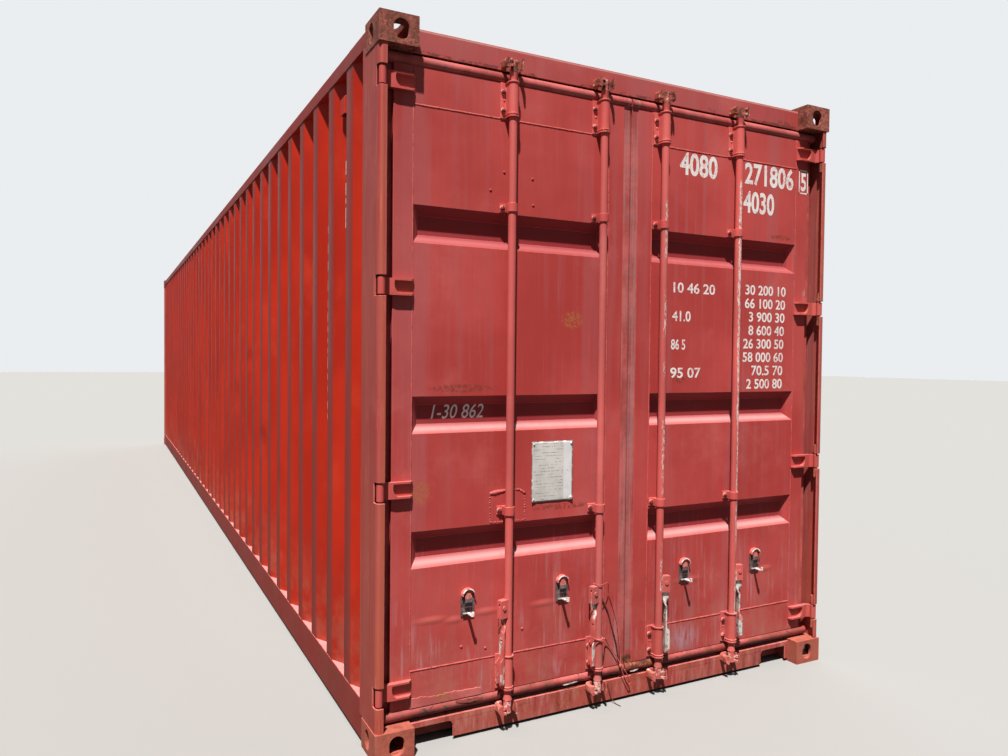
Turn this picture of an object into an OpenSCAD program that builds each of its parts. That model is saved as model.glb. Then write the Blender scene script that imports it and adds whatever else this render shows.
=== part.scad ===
// Forty foot high-cube freight container, seen from its door end.
// Millimetres. X runs along the length to the doors, Y across, Z up from the ground.
// The doors are shut, the locking bars stand just off lock and the handles hang.

/* [Overall] */
// Length over the corner castings
length = 12192; // [9200:1:12192]
// Width over the corner castings
width = 2438; // [2400:1:2600]
// Height over the corner castings
height = 2896; // [2591:1:2896]

/* [Corner castings] */
// Length of a casting along the container
casting_l = 178; // [170:1:190]
// Width of a casting across the container
casting_w = 162; // [155:1:170]
// Height of a casting
casting_h = 118; // [112:1:124]
// Thickness of the plate with the twistlock slot
casting_plate = 28.5; // [20:0.5:32]
// Thickness of the outer walls
casting_wall = 16; // [10:0.5:20]
// Thickness of the walls welded to the frame
casting_back = 11; // [8:0.5:14]
// Length of the twistlock slot
slot_l = 124.5; // [110:0.5:126]
// Width of the twistlock slot
slot_w = 63.5; // [55:0.5:66]
// Distance of the slot's centre from the end of the container
slot_from_end = 103.5; // [100:0.5:104]
// Distance of the slot's centre from the side of the container
slot_from_side = 89.5; // [86:0.5:92]
// Height of the hand holes in the end and side walls
aperture_h = 79.5; // [70:0.5:82]
// Width of the hand hole in the end wall
end_aperture_w = 63.5; // [50:0.5:66]
// Width of the hand hole in the side wall
side_aperture_w = 51; // [40:0.5:56]
// Height of a hand hole's centre inside the casting's outer face
aperture_centre = 60; // [57:0.5:62]

/* [Corner posts] */
// Set-back of the posts from the casting's side face
post_inset = 3; // [2:0.5:5]
// Plate thickness of the posts
post_t = 6; // [4:0.5:8]
// Depth of a rear post's side plate, door pin to wall
rear_post_depth = 192; // [170:1:220]
// Outer radius of the rear post's rounded nose
nose_r = 19; // [17:0.5:20]
// Width of the nose's flat towards the door
nose_flat = 14; // [8:0.5:18]
// Set-back of the nose behind the castings' end face
nose_inset = 5; // [4:0.5:8]
// Height of the cut-out in the nose at each hinge
hinge_cut_h = 80; // [76:1:90]
// Width of the channel inside a rear post
inner_channel_w = 113; // [100:1:120]
// Depth of that channel's flanges
inner_channel_d = 40; // [30:1:50]
// Thickness of that channel
inner_channel_t = 12; // [8:0.5:14]
// Length of a front post's side leg
front_post_side = 166; // [140:1:190]
// Length of a front post's end leg
front_post_end = 112; // [90:1:130]

/* [Side walls] */
// Outer flat of a corrugation
wall_flat_out = 90; // [70:1:100]
// Run of a corrugation's slope
wall_slope = 68; // [50:1:80]
// Inner flat of a corrugation
wall_flat_in = 74; // [64:1:90]
// Depth of a corrugation
wall_depth = 36; // [30:0.5:40]
// Sheet thickness of the walls
wall_t = 2; // [1.6:0.1:3]
// Set-back of the outer flats from the casting's side face
wall_inset = 7; // [5:0.5:8]

/* [Front wall] */
// Outer flat of a front corrugation
front_flat_out = 110; // [90:1:130]
// Run of a front corrugation's slope
front_slope = 18; // [14:1:30]
// Inner flat of a front corrugation
front_flat_in = 104; // [90:1:130]
// Depth of a front corrugation
front_depth = 45.6; // [40:0.1:48]
// Set-back of the front wall from the castings' end face
front_inset = 34; // [30:1:40]

/* [Roof] */
// Set-back of the roof below the castings' top
roof_drop = 21; // [14:0.5:26]
// Sheet thickness of the roof
roof_t = 2; // [1.6:0.1:3]
// Depth of a roof trough
roof_depth = 20; // [14:1:24]
// High flat between two roof troughs
roof_flat_out = 91; // [80:1:110]
// Run of a roof trough's slopes
roof_slope = 13.5; // [10:0.5:20]
// Flat bottom of a roof trough
roof_flat_in = 91; // [80:1:110]
// Length of a corner protection plate
corner_plate_l = 250; // [150:1:320]
// Width of a corner protection plate
corner_plate_w = 240; // [150:1:300]
// Thickness of a corner protection plate
corner_plate_t = 3; // [2:0.5:6]

/* [Rails and floor] */
// Side of the square top rails
top_rail = 60; // [50:1:70]
// Wall thickness of the top rails
top_rail_t = 3; // [2:0.5:5]
// Clearance of the base frame above the ground
base_clear = 17; // [12.5:0.5:22]
// Height of a bottom side rail
side_rail_h = 162; // [156:1:170]
// Top flange of a bottom side rail
side_rail_top = 48; // [42:1:56]
// Bottom flange of a bottom side rail
side_rail_foot = 30; // [20:1:40]
// Thickness of a bottom side rail
side_rail_t = 4.5; // [3:0.5:6]
// Projection of the bottom side rails beyond the wall's outer flats
side_rail_proud = 1; // [0:0.5:2]
// Height of a cross member
cross_h = 122; // [118:1:124]
// Flange width of a cross member
cross_flange = 42; // [35:1:50]
// Thickness of a cross member
cross_t = 4; // [3:0.5:6]
// Spacing of the cross members
cross_pitch = 300; // [250:1:340]
// Thickness of the floor boards
floor_t = 28; // [25:0.5:28]
// Length of a floor board
board_l = 2400; // [1800:1:2440]
// Seam between two floor boards
board_seam = 3; // [2:0.5:6]
// Length of the gooseneck tunnel
tunnel_l = 3150; // [2800:1:3200]
// Clear width of the gooseneck tunnel
tunnel_w = 1029; // [1000:1:1060]
// Clear height of the gooseneck tunnel
tunnel_h = 120; // [115:1:124]
// Plate thickness of the gooseneck tunnel
tunnel_t = 4; // [3:0.5:6]

/* [Door frame] */
// Set-back of the header's and sill's faces from the castings' end face
frame_inset = 62; // [60:1:66]
// Plate thickness of header and sill
frame_t = 6; // [4:0.5:8]
// Height of the header's face
header_h = 93; // [80:1:95]
// Clearance of the sill above the ground
sill_clear = 15; // [12.5:0.5:20]
// Height of the sill's top edge
sill_top = 106; // [104:1:112]
// Rise of the sill's top plate from its edge to the seal
sill_rise = 12; // [0:1:12]
// Depth from the sill's face back to the face that the seal bears on
seal_seat = 69; // [66:1:74]
// Width of the two cut-outs in the sill
sill_cut_w = 170; // [120:1:180]
// Height of the two cut-outs in the sill
sill_cut_h = 83; // [60:1:90]
// Distance of a cut-out from the casting beside it
sill_cut_from_casting = 22; // [16:1:40]
// Corner radius of the cut-outs
sill_cut_r = 22; // [10:1:30]

/* [Doors] */
// Gap between a door leaf and the header
leaf_gap = 50; // [50:1:56]
// Gap between a door leaf and the sill's top edge
sill_gap = 62; // [62:1:68]
// Distance from a hinge pin back to the leaf's edge
leaf_from_pin = 59; // [56:1:62]
// Distance of a leaf's free edge from the centre line
leaf_from_centre = 40; // [36:1:44]
// Thickness of a leaf's frame
leaf_t = 50; // [44:1:52]
// Set-back of a leaf's outer face from the castings' end face
leaf_inset = 64; // [63:0.5:68]
// Width of a leaf's stiles
stile_w = 82; // [70:1:90]
// Height of a leaf's rails
leaf_rail_h = 150; // [120:1:160]
// Plate thickness of a leaf's rails
leaf_rail_t = 3.2; // [2:0.2:5]
// Sheet thickness of a door panel
panel_t = 2; // [1.6:0.1:3]
// Depth of a panel's troughs
trough_depth = 40; // [24:1:40]
// Height of a trough's mouth
trough_h = 150; // [120:1:170]
// Run of a trough's slopes
trough_slope = 36; // [20:1:40]
// Height of the lowest trough above the leaf's bottom edge
trough_low = 638; // [500:1:700]
// Height of the middle trough above the leaf's bottom edge
trough_mid = 1181; // [1000:1:1250]
// Height of the top trough above the leaf's bottom edge
trough_top = 1944; // [1600:1:1960]

/* [Seals] */
// Width of a seal above and below a leaf
seal_w = 44; // [32:1:44]
// Thickness of the seal's body
seal_body = 20; // [14:1:24]
// Set-back of the seal's rounded nose from the castings' end face
seal_inset = 55; // [52:1:58]
// Thickness of the seal's inner lip
seal_lip = 5; // [3:0.5:7]
// Gap between the lip and the face that it bears on
seal_touch = 0.3; // [0.2:0.1:0.5]
// Width of the seal beside a hinge stile
seal_hinge_w = 44; // [34:1:46]
// Gap between the two seals at the centre
seal_centre_gap = 8; // [7:0.5:12]
// Set-back of the centre strips behind the leaf's face
seal_centre_inset = 4; // [3:0.5:8]

/* [Hinges] */
// Distance of the lowest hinge from the leaf's bottom edge
hinge_from_bottom = 88; // [70:1:140]
// Distance of the highest hinge from the leaf's top edge
hinge_from_top = 74; // [70:1:140]
// Height of a hinge blade and its knuckle
blade_h = 66; // [50:1:70]
// Outer radius of a knuckle
knuckle_r = 14.5; // [12.5:0.5:15]
// Radius of a hinge pin
pin_r = 8; // [6:0.5:9]
// Running gap between pin and knuckle
pin_gap = 0.3; // [0.2:0.05:0.5]
// Reach of a blade from its pin onto the stile
blade_reach = 145; // [125:1:150]
// Rise of a blade's fins above the leaf's face
fin_rise = 24; // [16:1:24]
// Thickness of a blade's fins
fin_t = 8; // [6:0.5:10]
// Run of the fins' slanted free end
fin_end = 14; // [10:1:18]
// Height of the fins at their free end
fin_end_h = 8; // [4:1:10]
// Fall of a blade's outer face towards its knuckle
knuckle_fall = 6; // [6:0.5:8]
// Clearance of a blade round the nose of the post
nose_clear = 5; // [5:0.5:6]
// Radius of the scoop in the web beside a knuckle
scoop_r = 40; // [30:1:45]
// Height of the scoop's centre above the blade's middle
scoop_up = 10; // [6:1:14]
// Length of a lug above and below its cut-out
lug_l = 45; // [30:1:60]

/* [Locking bars] */
// Radius of a locking bar
bar_r = 17; // [14:0.5:18]
// Wall thickness of a locking bar
bar_t = 3.2; // [2.6:0.2:5]
// Distance of a bar's axis from the leaf's outer face
bar_stand = 34; // [32:0.5:36]
// Distance of the outer bars from the centre line
outer_bar_y = 629; // [560:1:680]
// Distance of the inner bars from the centre line
inner_bar_y = 171; // [150:1:200]
// Angle by which the bars rest off lock
rest_angle = 15; // [15:1:18]
// Distance of a bar's tube from the leaf's top and bottom edge
bar_from_edge = 2; // [2:1:10]
// Length of the solid plugs in the tube's ends
bar_plug = 20; // [12:1:40]
// Running gap between a bar and its brackets
bar_gap = 1; // [0.5:0.1:2]
// Length of a sleeve bracket
sleeve_l = 147; // [100:1:160]
// Distance of a lower sleeve bracket from the leaf's bottom edge
sleeve_from_bottom = 13; // [2:1:25]
// Distance of an upper sleeve bracket from the leaf's top edge
sleeve_from_top = 2; // [2:1:25]
// Wall thickness of a sleeve bracket
sleeve_t = 4.5; // [3:0.5:6]
// Widening of a sleeve bracket towards its lower end
sleeve_flare = 1.5; // [0.5:0.5:2]
// Height of a sleeve bracket's collars
collar_h = 6; // [5:0.5:8]
// Groove between the two lower collars
collar_groove = 4; // [3:0.5:6]
// Projection of the collars beyond the sleeve
collar_out = 2.5; // [1.5:0.5:3]
// Width of a bracket's bolting flange
flange_w = 22; // [18:1:40]
// Thickness of the flange
flange_t = 6; // [4:0.5:8]
// Height of a guide strap
strap_h = 36; // [24:1:44]
// Height of the lower guide straps above the leaf's bottom edge
strap_low = 746; // [728:1:800]
// Rise of the left outer bar's lower guide strap, which was fitted again on a patch
strap_raise = 25; // [0:1:40]
// Height of the upper guide straps above the leaf's bottom edge
strap_high = 2040; // [2038:1:2080]

/* [Cams and keepers] */
// Reach of a cam's toes from the bar's axis
toe_r = 34; // [32:0.5:35]
// Thickness of a cam toe
toe_t = 10; // [7:0.5:12]
// Angle by which the toes lead the bar's hinge side at lock
toe_lead = 20; // [20:1:24]
// Angle that a toe spans
toe_span = 24; // [18:1:30]
// Gap between the toes and the keeper's horns
toe_gap = 1; // [0.8:0.1:1.4]
// Grip of a keeper's horn over the toe at lock
horn_grip = 1.7; // [1:0.1:2]
// Height of a keeper
keeper_h = 45; // [40:1:50]
// Projection of a keeper past the header's edge
keeper_past = 4; // [2:0.5:4]
// Thickness of a keeper's horns and back
keeper_t = 9; // [7:0.5:11]
// Length of the horns past the toes' path
keeper_lip = 6; // [4:0.5:8]
// Rounding of the horns' corners
keeper_round = 15; // [8:0.5:18]
// Gap between a keeper's ends and the cam's body
cam_inset = 6; // [4:0.5:8]
// Radius at the mouth of the bell above the cam
bell_r = 19; // [18:0.5:20]
// Height of the bell
bell_h = 26; // [18:1:30]
// Height of the bell's mouth above the keeper
bell_rise = 16; // [16:0.5:20]

/* [Handles] */
// Height of a handle's pivot above the leaf's bottom edge
pivot_up = 367; // [340:1:420]
// Distance of the pivot from the bar's axis
pivot_out = 34; // [33:0.5:36]
// Height of a hub
hub_h = 76; // [60:1:84]
// Rise of the hub above the pivot
hub_rise = 32; // [28:1:36]
// Thickness of a hub across its cheeks
hub_w = 27; // [22:0.5:28]
// Room round the handle inside the hub
hub_room = 2; // [1:0.5:3]
// Radius of the pivot bolt
pivot_r = 6; // [4:0.5:7]
// Running gap of the handle on its bolt and between the cheeks
pivot_gap = 0.5; // [0.3:0.1:1]
// Width of a handle's flat bar
handle_w = 28; // [20:1:28]
// Thickness of a handle's flat bar
handle_t = 7; // [5:0.5:8]
// Length of a handle below its pivot
handle_l = 335; // [260:1:336]
// Distance of the twist below the pivot
twist_down = 75; // [60:1:90]
// Length of the twist
twist_l = 36; // [24:1:50]
// Distance of the seal hole below the pivot
seal_hole_down = 140; // [130:1:160]
// Radius of the seal hole
seal_hole_r = 6; // [4:0.5:8]
// Distance of the folded grip below the pivot
grip_down = 212; // [205:1:230]
// Depth of the grip's folded edges
grip_d = 14; // [10:0.5:16]
// Thickness of the grip's folded edges
grip_t = 4; // [3:0.5:5]
// Distance of a handle catch from the bar's axis
catch_reach = 175; // [165:1:190]
// Width of a catch
catch_w = 60; // [44:1:66]
// Depth of a catch's ledge
catch_ledge = 13; // [8:1:30]
// Width of the hook that carries the handle
hook_w = 12; // [8:1:20]
// Gap between a held handle and its catch
catch_gap = 5.5; // [5:0.5:7]
// Thickness of a catch's plates
catch_t = 5; // [4:0.5:6]
// Height of a catch's plate above the held handle
catch_top = 80; // [76:1:90]
// Radius of the flap's hinge boss
boss_r = 11; // [8:0.5:13]
// Distance of the boss below the plate's upper edge
boss_down = 18; // [14:0.5:22]
// Depth of the flap's hood
hood_d = 20; // [12:1:24]

/* [Vents] */
// Width of a side vent
vent_w = 60; // [40:1:66]
// Height of a side vent
vent_h = 98; // [70:1:160]
// Depth of a side vent, and the fall of its slanted top
vent_d = 26; // [14:1:30]
// Distance of a vent's top below the top rail
vent_down = 62; // [40:1:400]

/* [Hidden] */

LEFT = -1;
RIGHT = 1;
paint = [0.66, 0.24, 0.21];
rust = [0.45, 0.24, 0.16];
rubber = [0.42, 0.15, 0.14];
wood = [0.50, 0.38, 0.26];
bare = [0.80, 0.78, 0.74];

end_x = length / 2;
side_y = width / 2;
frame_x = end_x - casting_l;
frame_y = side_y - casting_w;

post_y = side_y - post_inset;
pin_x = end_x - nose_inset - nose_r;
pin_y = post_y - nose_r;
nose_in = nose_r - post_t;
rear_wall_x = pin_x - rear_post_depth;
front_post_x = end_x - nose_inset;
front_wall_x = front_post_x - front_post_side;

roof_z = height - roof_drop;
rail_z = roof_z - roof_t;
rail_base_z = rail_z - top_rail;
rail_y = post_y - top_rail;
base_top = base_clear + side_rail_h;
wall_in_y = side_y - wall_inset - wall_depth - wall_t;
casting_under = height - casting_h;
cross_z = base_clear + side_rail_t;
floor_z = cross_z + cross_h;
floor_top = floor_z + floor_t;
web_y = side_y - wall_inset + side_rail_proud;

face_x = end_x - frame_inset;
seat_x = face_x - seal_seat;
header_z = rail_z - header_h;

leaf_x = end_x - leaf_inset;
leaf_low = sill_top + sill_gap;
leaf_high = header_z - leaf_gap;
leaf_h = leaf_high - leaf_low;
leaf_mid = (leaf_low + leaf_high) / 2;
leaf_edge = pin_y - leaf_from_pin;
panel_out = leaf_edge - stile_w;
panel_in = leaf_from_centre + stile_w;
hinge_pitch = (leaf_h - hinge_from_bottom - hinge_from_top) / 3;
hinge_heights = [for (i = [0:3]) leaf_low + hinge_from_bottom + i * hinge_pitch];
trough_heights = [leaf_low + trough_low, leaf_low + trough_mid, leaf_low + trough_top];

bar_x = leaf_x + bar_stand;
sleeve_r = bar_r + bar_gap + sleeve_t;
tube_low = leaf_low + bar_from_edge;
tube_high = leaf_high - bar_from_edge;
pivot_z = leaf_low + pivot_up;
keeper_top = leaf_low - leaf_gap + keeper_past;
keeper_low = keeper_top - keeper_h;
cam_low = keeper_low + cam_inset;
bell_mouth = keeper_top + bell_rise;
bell_neck_r = bar_r - bar_t;
keeper_r = toe_r + toe_gap;
horn_y = toe_r * cos(toe_lead) - horn_grip;
horn_x = sqrt(keeper_r * keeper_r - horn_y * horn_y);

function reversed(list) = [for (i = [len(list) - 1:-1:0]) list[i]];

function sheet_pitch(flat_out, slope, flat_in) = flat_out + 2 * slope + flat_in;
function sheet_bays(run, flat_out, pitch) = floor((run - flat_out) / pitch);

// The plain strip that is left at each end of a sheet with whole corrugations.
function sheet_margin(run, flat_out, pitch) =
    (run - sheet_bays(run, flat_out, pitch) * pitch - flat_out) / 2;

// One face of a corrugated sheet, from s = 0 to run, as points of length and depth.
// It begins and ends on a flat at depth 0, and a negative depth turns it inside out.
// The corners move by shift so that the sheet has the same thickness on its slopes.
function sheet_face(run, flat_out, slope, flat_in, depth, offset, shift) =
    let (pitch = sheet_pitch(flat_out, slope, flat_in))
    concat(
        [[0, offset]],
        [for (i = [0:sheet_bays(run, flat_out, pitch) - 1], k = [0:3])
            let (a = sheet_margin(run, flat_out, pitch) + i * pitch + flat_out)
            k == 0 ? [a - shift, offset]
            : k == 1 ? [a + slope - shift, depth + offset]
            : k == 2 ? [a + slope + flat_in + shift, depth + offset]
            : [a + 2 * slope + flat_in + shift, offset]],
        [[run, offset]]);

module corrugated_sheet(run, flat_out, slope, flat_in, depth, t) {
    shift = t * tan(atan(depth / slope) / 2);
    polygon(concat(
        sheet_face(run, flat_out, slope, flat_in, depth, 0, 0),
        reversed(sheet_face(run, flat_out, slope, flat_in, depth, t, shift))));
}

// What is drawn for the right side is mirrored for the left.
module on_side(side) {
    mirror([0, side == LEFT ? 1 : 0, 0]) children();
}

module both_sides() {
    for (side = [LEFT, RIGHT]) on_side(side) children();
}

// A box from its lowest to its highest corner. Cuts run 1 mm past the faces that they open.
module box(low, high) {
    translate(low) cube(high - low);
}

// A profile of X and Z drawn in the plane, run across the width.
module run_across(half) {
    translate([0, half, 0]) rotate([90, 0, 0]) linear_extrude(2 * half) children();
}

// A profile of Y and Z drawn in the plane, run along the length.
module run_along(from, to) {
    translate([from, 0, 0]) rotate([90, 0, 90]) linear_extrude(to - from) children();
}

module stadium(l, w) {
    square([l - w, w], center = true);
    for (s = [-1, 1]) translate([s * (l - w) / 2, 0]) circle(d = w, $fn = 48);
}

// Corner casting

// A top casting on the door end's right, with its outer corner at the origin.
module casting() {
    difference() {
        translate([-casting_l, -casting_w, -casting_h]) cube([casting_l, casting_w, casting_h]);
        translate([casting_back - casting_l, casting_back - casting_w, casting_back - casting_h])
            cube([casting_l - casting_back - casting_wall, casting_w - casting_back - casting_wall,
                casting_h - casting_back - casting_plate]);
        translate([-slot_from_end, -slot_from_side, -casting_plate - 1])
            linear_extrude(casting_plate + 2) stadium(slot_l, slot_w);
        translate([-casting_wall - 1, -slot_from_side, -aperture_centre])
            rotate([0, 90, 0]) linear_extrude(casting_wall + 2) stadium(aperture_h, end_aperture_w);
        translate([-slot_from_end, 1, -aperture_centre])
            rotate([90, 90, 0]) linear_extrude(casting_wall + 2) stadium(aperture_h, side_aperture_w);
    }
}

module four_castings() {
    both_sides() for (turn = [0, 1]) mirror([turn, 0, 0])
        translate([end_x, side_y, 0]) casting();
}

module top_corner_castings() {
    color(rust) translate([0, 0, height]) four_castings();
}

module bottom_corner_castings() {
    color(rust) mirror([0, 0, 1]) four_castings();
}

// Corner posts

// The strip that turns in from a post's side plate to the wall's first inner flat.
module post_return(x, top) {
    box([x, wall_in_y, base_top], [x + post_t, post_y - post_t / 2, top]);
}

module front_corner_posts() {
    color(paint) both_sides() mirror([1, 0, 0]) {
        post_return(front_wall_x, casting_under);
        translate([0, 0, casting_h]) linear_extrude(height - 2 * casting_h) difference() {
            union() {
                translate([front_wall_x, post_y - post_t]) square([front_post_side - nose_r, post_t]);
                translate([front_post_x - nose_r, post_y - nose_r]) circle(nose_r, $fn = 48);
                translate([front_post_x - post_t, post_y - front_post_end])
                    square([post_t, front_post_end - nose_r]);
                translate([front_post_x - front_inset, post_y - front_post_end])
                    square([front_inset, post_t]);
            }
            translate([front_post_x - nose_r, post_y - nose_r]) circle(nose_in, $fn = 48);
            translate([front_post_x - 2 * nose_r, post_y - 2 * nose_r]) square([nose_r, 2 * nose_r - post_t]);
            translate([front_post_x - 2 * nose_r, post_y - 2 * nose_r]) square([2 * nose_r - post_t, nose_r]);
        }
    }
}

module rear_post_profile() {
    translate([rear_wall_x, pin_y + nose_in]) square([rear_post_depth, post_t]);
    intersection() {
        translate([pin_x, pin_y]) difference() {
            circle(nose_r, $fn = 48);
            circle(nose_in, $fn = 48);
        }
        translate([pin_x, pin_y]) square(nose_r);
    }
    translate([pin_x + nose_in, pin_y - nose_flat]) square([post_t, nose_flat]);
}

// The side plate runs on past the casting to the top rail.
module rear_corner_posts() {
    color(paint) both_sides() {
        difference() {
            translate([0, 0, casting_h]) linear_extrude(height - 2 * casting_h) rear_post_profile();
            for (z = hinge_heights)
                translate([pin_x - nose_r - 1, pin_y - nose_flat - 1, z - hinge_cut_h / 2])
                    cube([2 * nose_r + 2, nose_r + nose_flat + 2, hinge_cut_h]);
        }
        post_return(rear_wall_x, rail_base_z);
        box([rear_wall_x, pin_y + nose_in, casting_under], [frame_x, post_y, rail_base_z]);
    }
}

module rear_post_channels() {
    outer = pin_y + nose_in;
    color(paint) both_sides() translate([0, 0, casting_h]) linear_extrude(height - 2 * casting_h) {
        translate([seat_x - inner_channel_t, outer - inner_channel_w])
            square([inner_channel_t, inner_channel_w]);
        for (y = [outer - inner_channel_w, outer - inner_channel_t])
            translate([seat_x - inner_channel_d, y]) square([inner_channel_d, inner_channel_t]);
    }
}

// A hinge pin runs through its cut-out and ends in a thicker lug inside the nose on each side.
module hinge_pins() {
    reach = hinge_cut_h / 2 + lug_l;
    color(rust) both_sides() for (z = hinge_heights) translate([pin_x, pin_y, z])
        rotate_extrude($fn = 48) polygon([
            [0, -reach], [nose_in - pin_gap, -reach], [nose_in - pin_gap, -hinge_cut_h / 2],
            [pin_r, -hinge_cut_h / 2], [pin_r, hinge_cut_h / 2],
            [nose_in - pin_gap, hinge_cut_h / 2], [nose_in - pin_gap, reach], [0, reach]]);
}

// Rails

module top_side_rails() {
    color(paint) both_sides() run_along(-frame_x, frame_x) difference() {
        translate([rail_y, rail_base_z]) square(top_rail);
        translate([rail_y + top_rail_t, rail_base_z + top_rail_t]) square(top_rail - 2 * top_rail_t);
    }
}

// The web stops at the rear post's plate, above the casting.
module bottom_side_rails() {
    color(paint) both_sides() difference() {
        run_along(-frame_x, frame_x) {
            translate([web_y - side_rail_t, base_clear]) square([side_rail_t, side_rail_h]);
            translate([web_y - side_rail_foot, base_clear]) square([side_rail_foot, side_rail_t]);
            translate([web_y - side_rail_top, base_top - side_rail_t]) square([side_rail_top, side_rail_t]);
        }
        box([rear_wall_x, web_y - side_rail_t, casting_h], [end_x, side_y, base_top + 1]);
    }
}

// A tube between the castings, from their underside up to the roof.
module front_top_rail() {
    x = -(front_post_x - front_inset + top_rail / 2);
    w = top_rail / 2 + front_depth + wall_t;
    h = rail_z - casting_under;
    color(paint) run_across(frame_y) difference() {
        translate([x, casting_under]) square([w, h]);
        translate([x + top_rail_t, casting_under + top_rail_t])
            square([w - 2 * top_rail_t, h - 2 * top_rail_t]);
    }
}

module front_bottom_rail() {
    x = front_post_x - front_inset - front_depth - 2 * wall_t;
    color(paint) mirror([1, 0, 0]) difference() {
        box([x, -frame_y, base_clear], [front_post_x, frame_y, base_top]);
        box([x - 1, -frame_y - 1, base_clear - 1],
            [front_post_x - frame_t, frame_y + 1, base_top - frame_t]);
        box([x - 1, -tunnel_w / 2, base_clear - 1], [front_post_x + 1, tunnel_w / 2, tunnel_h]);
    }
}

// Walls and roof

// Begins and ends in a recess, and is notched round the upper front casting.
module side_wall(side) {
    run = rear_wall_x + front_wall_x;
    color(paint) on_side(side) difference() {
        translate([-front_wall_x, side_y - wall_inset - wall_depth, base_top])
            linear_extrude(rail_base_z - base_top) mirror([0, 1, 0])
                corrugated_sheet(run, wall_flat_in, wall_slope, wall_flat_out, -wall_depth, wall_t);
        box([-end_x, frame_y, casting_under], [-frame_x, side_y, height]);
    }
}

module front_wall() {
    half = post_y - front_post_end;
    x = front_post_x - front_inset;
    color(paint) translate([-x, half, base_top]) linear_extrude(casting_under - base_top) rotate(-90)
        corrugated_sheet(2 * half, front_flat_out, front_slope, front_flat_in, front_depth, wall_t);
}

// The roof sheet follows the higher of two surfaces: the troughs across the width,
// and the flat borders that slope down to the troughs' floors.
module roof_skin(lift, from, to, trough_end) {
    run = to - from;
    difference() {
        run_across(post_y - top_rail_t) translate([from, roof_z - 2 * roof_depth])
            square([run, 2 * roof_depth + lift]);
        intersection() {
            run_across(trough_end) translate([from, roof_z + lift]) mirror([0, 1])
                polygon(concat(sheet_face(run, roof_flat_out, roof_slope, roof_flat_in, roof_depth,
                    0, lift < 0 ? roof_t * tan(atan(roof_depth / roof_slope) / 2) : 0),
                    [[run, -1], [0, -1]]));
            run_along(from, to) polygon([
                [-trough_end, roof_z + lift + 1], [-trough_end, roof_z + lift],
                [roof_slope - trough_end, roof_z + lift - roof_depth],
                [trough_end - roof_slope, roof_z + lift - roof_depth],
                [trough_end, roof_z + lift], [trough_end, roof_z + lift + 1]]);
        }
    }
}

module roof() {
    from = -(front_post_x - front_inset);
    to = face_x;
    color(paint) difference() {
        roof_skin(0, from, to, rail_y - roof_slope);
        roof_skin(-roof_t, from, to, rail_y - roof_slope);
        both_sides() for (turn = [0, 1]) mirror([turn, 0, 0])
            box([frame_x - 1, frame_y - 1, roof_z - roof_depth], [end_x, side_y, roof_z + 1]);
    }
}

module roof_corner_plates() {
    color(paint) both_sides() for (turn = [0, 1]) mirror([turn, 0, 0])
        box([frame_x - corner_plate_l, post_y - top_rail_t - corner_plate_w, roof_z],
            [frame_x, post_y - top_rail_t, roof_z + corner_plate_t]);
}

// Floor

// Plywood panels, notched round the tunnel's plate and the rear posts' channels.
module floor_boards() {
    edge = web_y - side_rail_top - board_seam;
    start = seat_x - frame_t - board_seam;
    rows = ceil((start + front_wall_x) / board_l);
    channel_y = pin_y + nose_in - inner_channel_w;
    color(wood) both_sides() for (i = [0:rows - 1]) {
        high = start - i * board_l;
        low = max(high - board_l + board_seam, -front_wall_x);
        difference() {
            box([low, board_seam / 2, floor_z], [high, edge, floor_top]);
            box([-end_x, 0, floor_z - 1], [tunnel_l - end_x + board_seam,
                tunnel_w / 2 + cross_flange + board_seam, floor_top + 1]);
            box([seat_x - inner_channel_d - board_seam, channel_y - board_seam, floor_z - 1],
                [end_x, side_y, floor_top + 1]);
        }
    }
}

// A channel across the floor, open towards the doors.
module cross_member(from, to) {
    difference() {
        box([0, from, cross_z], [cross_flange, to, floor_z]);
        box([cross_t, from - 1, cross_z + cross_t], [cross_flange + 1, to + 1, floor_z - cross_t]);
    }
}

module cross_members() {
    inside = web_y - side_rail_t;
    first = tunnel_l - end_x + cross_flange;
    last = seat_x - frame_t - 2 * cross_flange;
    count = floor((last - first) / cross_pitch);
    stubs = floor((tunnel_l - casting_l) / cross_pitch);
    color(paint) {
        for (i = [0:count]) translate([last - i * cross_pitch, 0, 0]) cross_member(-inside, inside);
        both_sides() for (i = [1:stubs - 1])
            translate([tunnel_l - end_x - i * cross_pitch, 0, 0])
                cross_member(tunnel_w / 2 + cross_flange, inside);
    }
}

// Roof plate of the tunnel, with hat sections under it and a leg along each side.
module gooseneck_tunnel() {
    from = -(front_post_x - frame_t);
    to = tunnel_l - end_x;
    leg = tunnel_w / 2;
    ribs = floor((to - from) / cross_pitch);
    color(paint) {
        box([from, -leg - cross_flange, floor_top - tunnel_t], [to, leg + cross_flange, floor_top]);
        both_sides() box([from, leg, cross_z], [to, leg + tunnel_t, floor_top - tunnel_t]);
        for (i = [1:ribs]) difference() {
            box([to - i * cross_pitch, -leg, tunnel_h],
                [to - i * cross_pitch + cross_flange, leg, floor_top - tunnel_t]);
            box([to - i * cross_pitch + tunnel_t, -leg, tunnel_h + tunnel_t],
                [to - i * cross_pitch + cross_flange - tunnel_t, leg, floor_top - tunnel_t]);
        }
    }
}

// Door header and sill

module door_header() {
    color(paint) run_across(frame_y) {
        translate([face_x - frame_t, header_z]) square([frame_t, header_h]);
        translate([seat_x - frame_t, header_z]) square([seal_seat + frame_t, frame_t]);
        translate([seat_x - frame_t, leaf_high]) square([frame_t, header_h + leaf_gap]);
        translate([seat_x - frame_t, rail_z - frame_t]) square([seal_seat + frame_t, frame_t]);
    }
}

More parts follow.
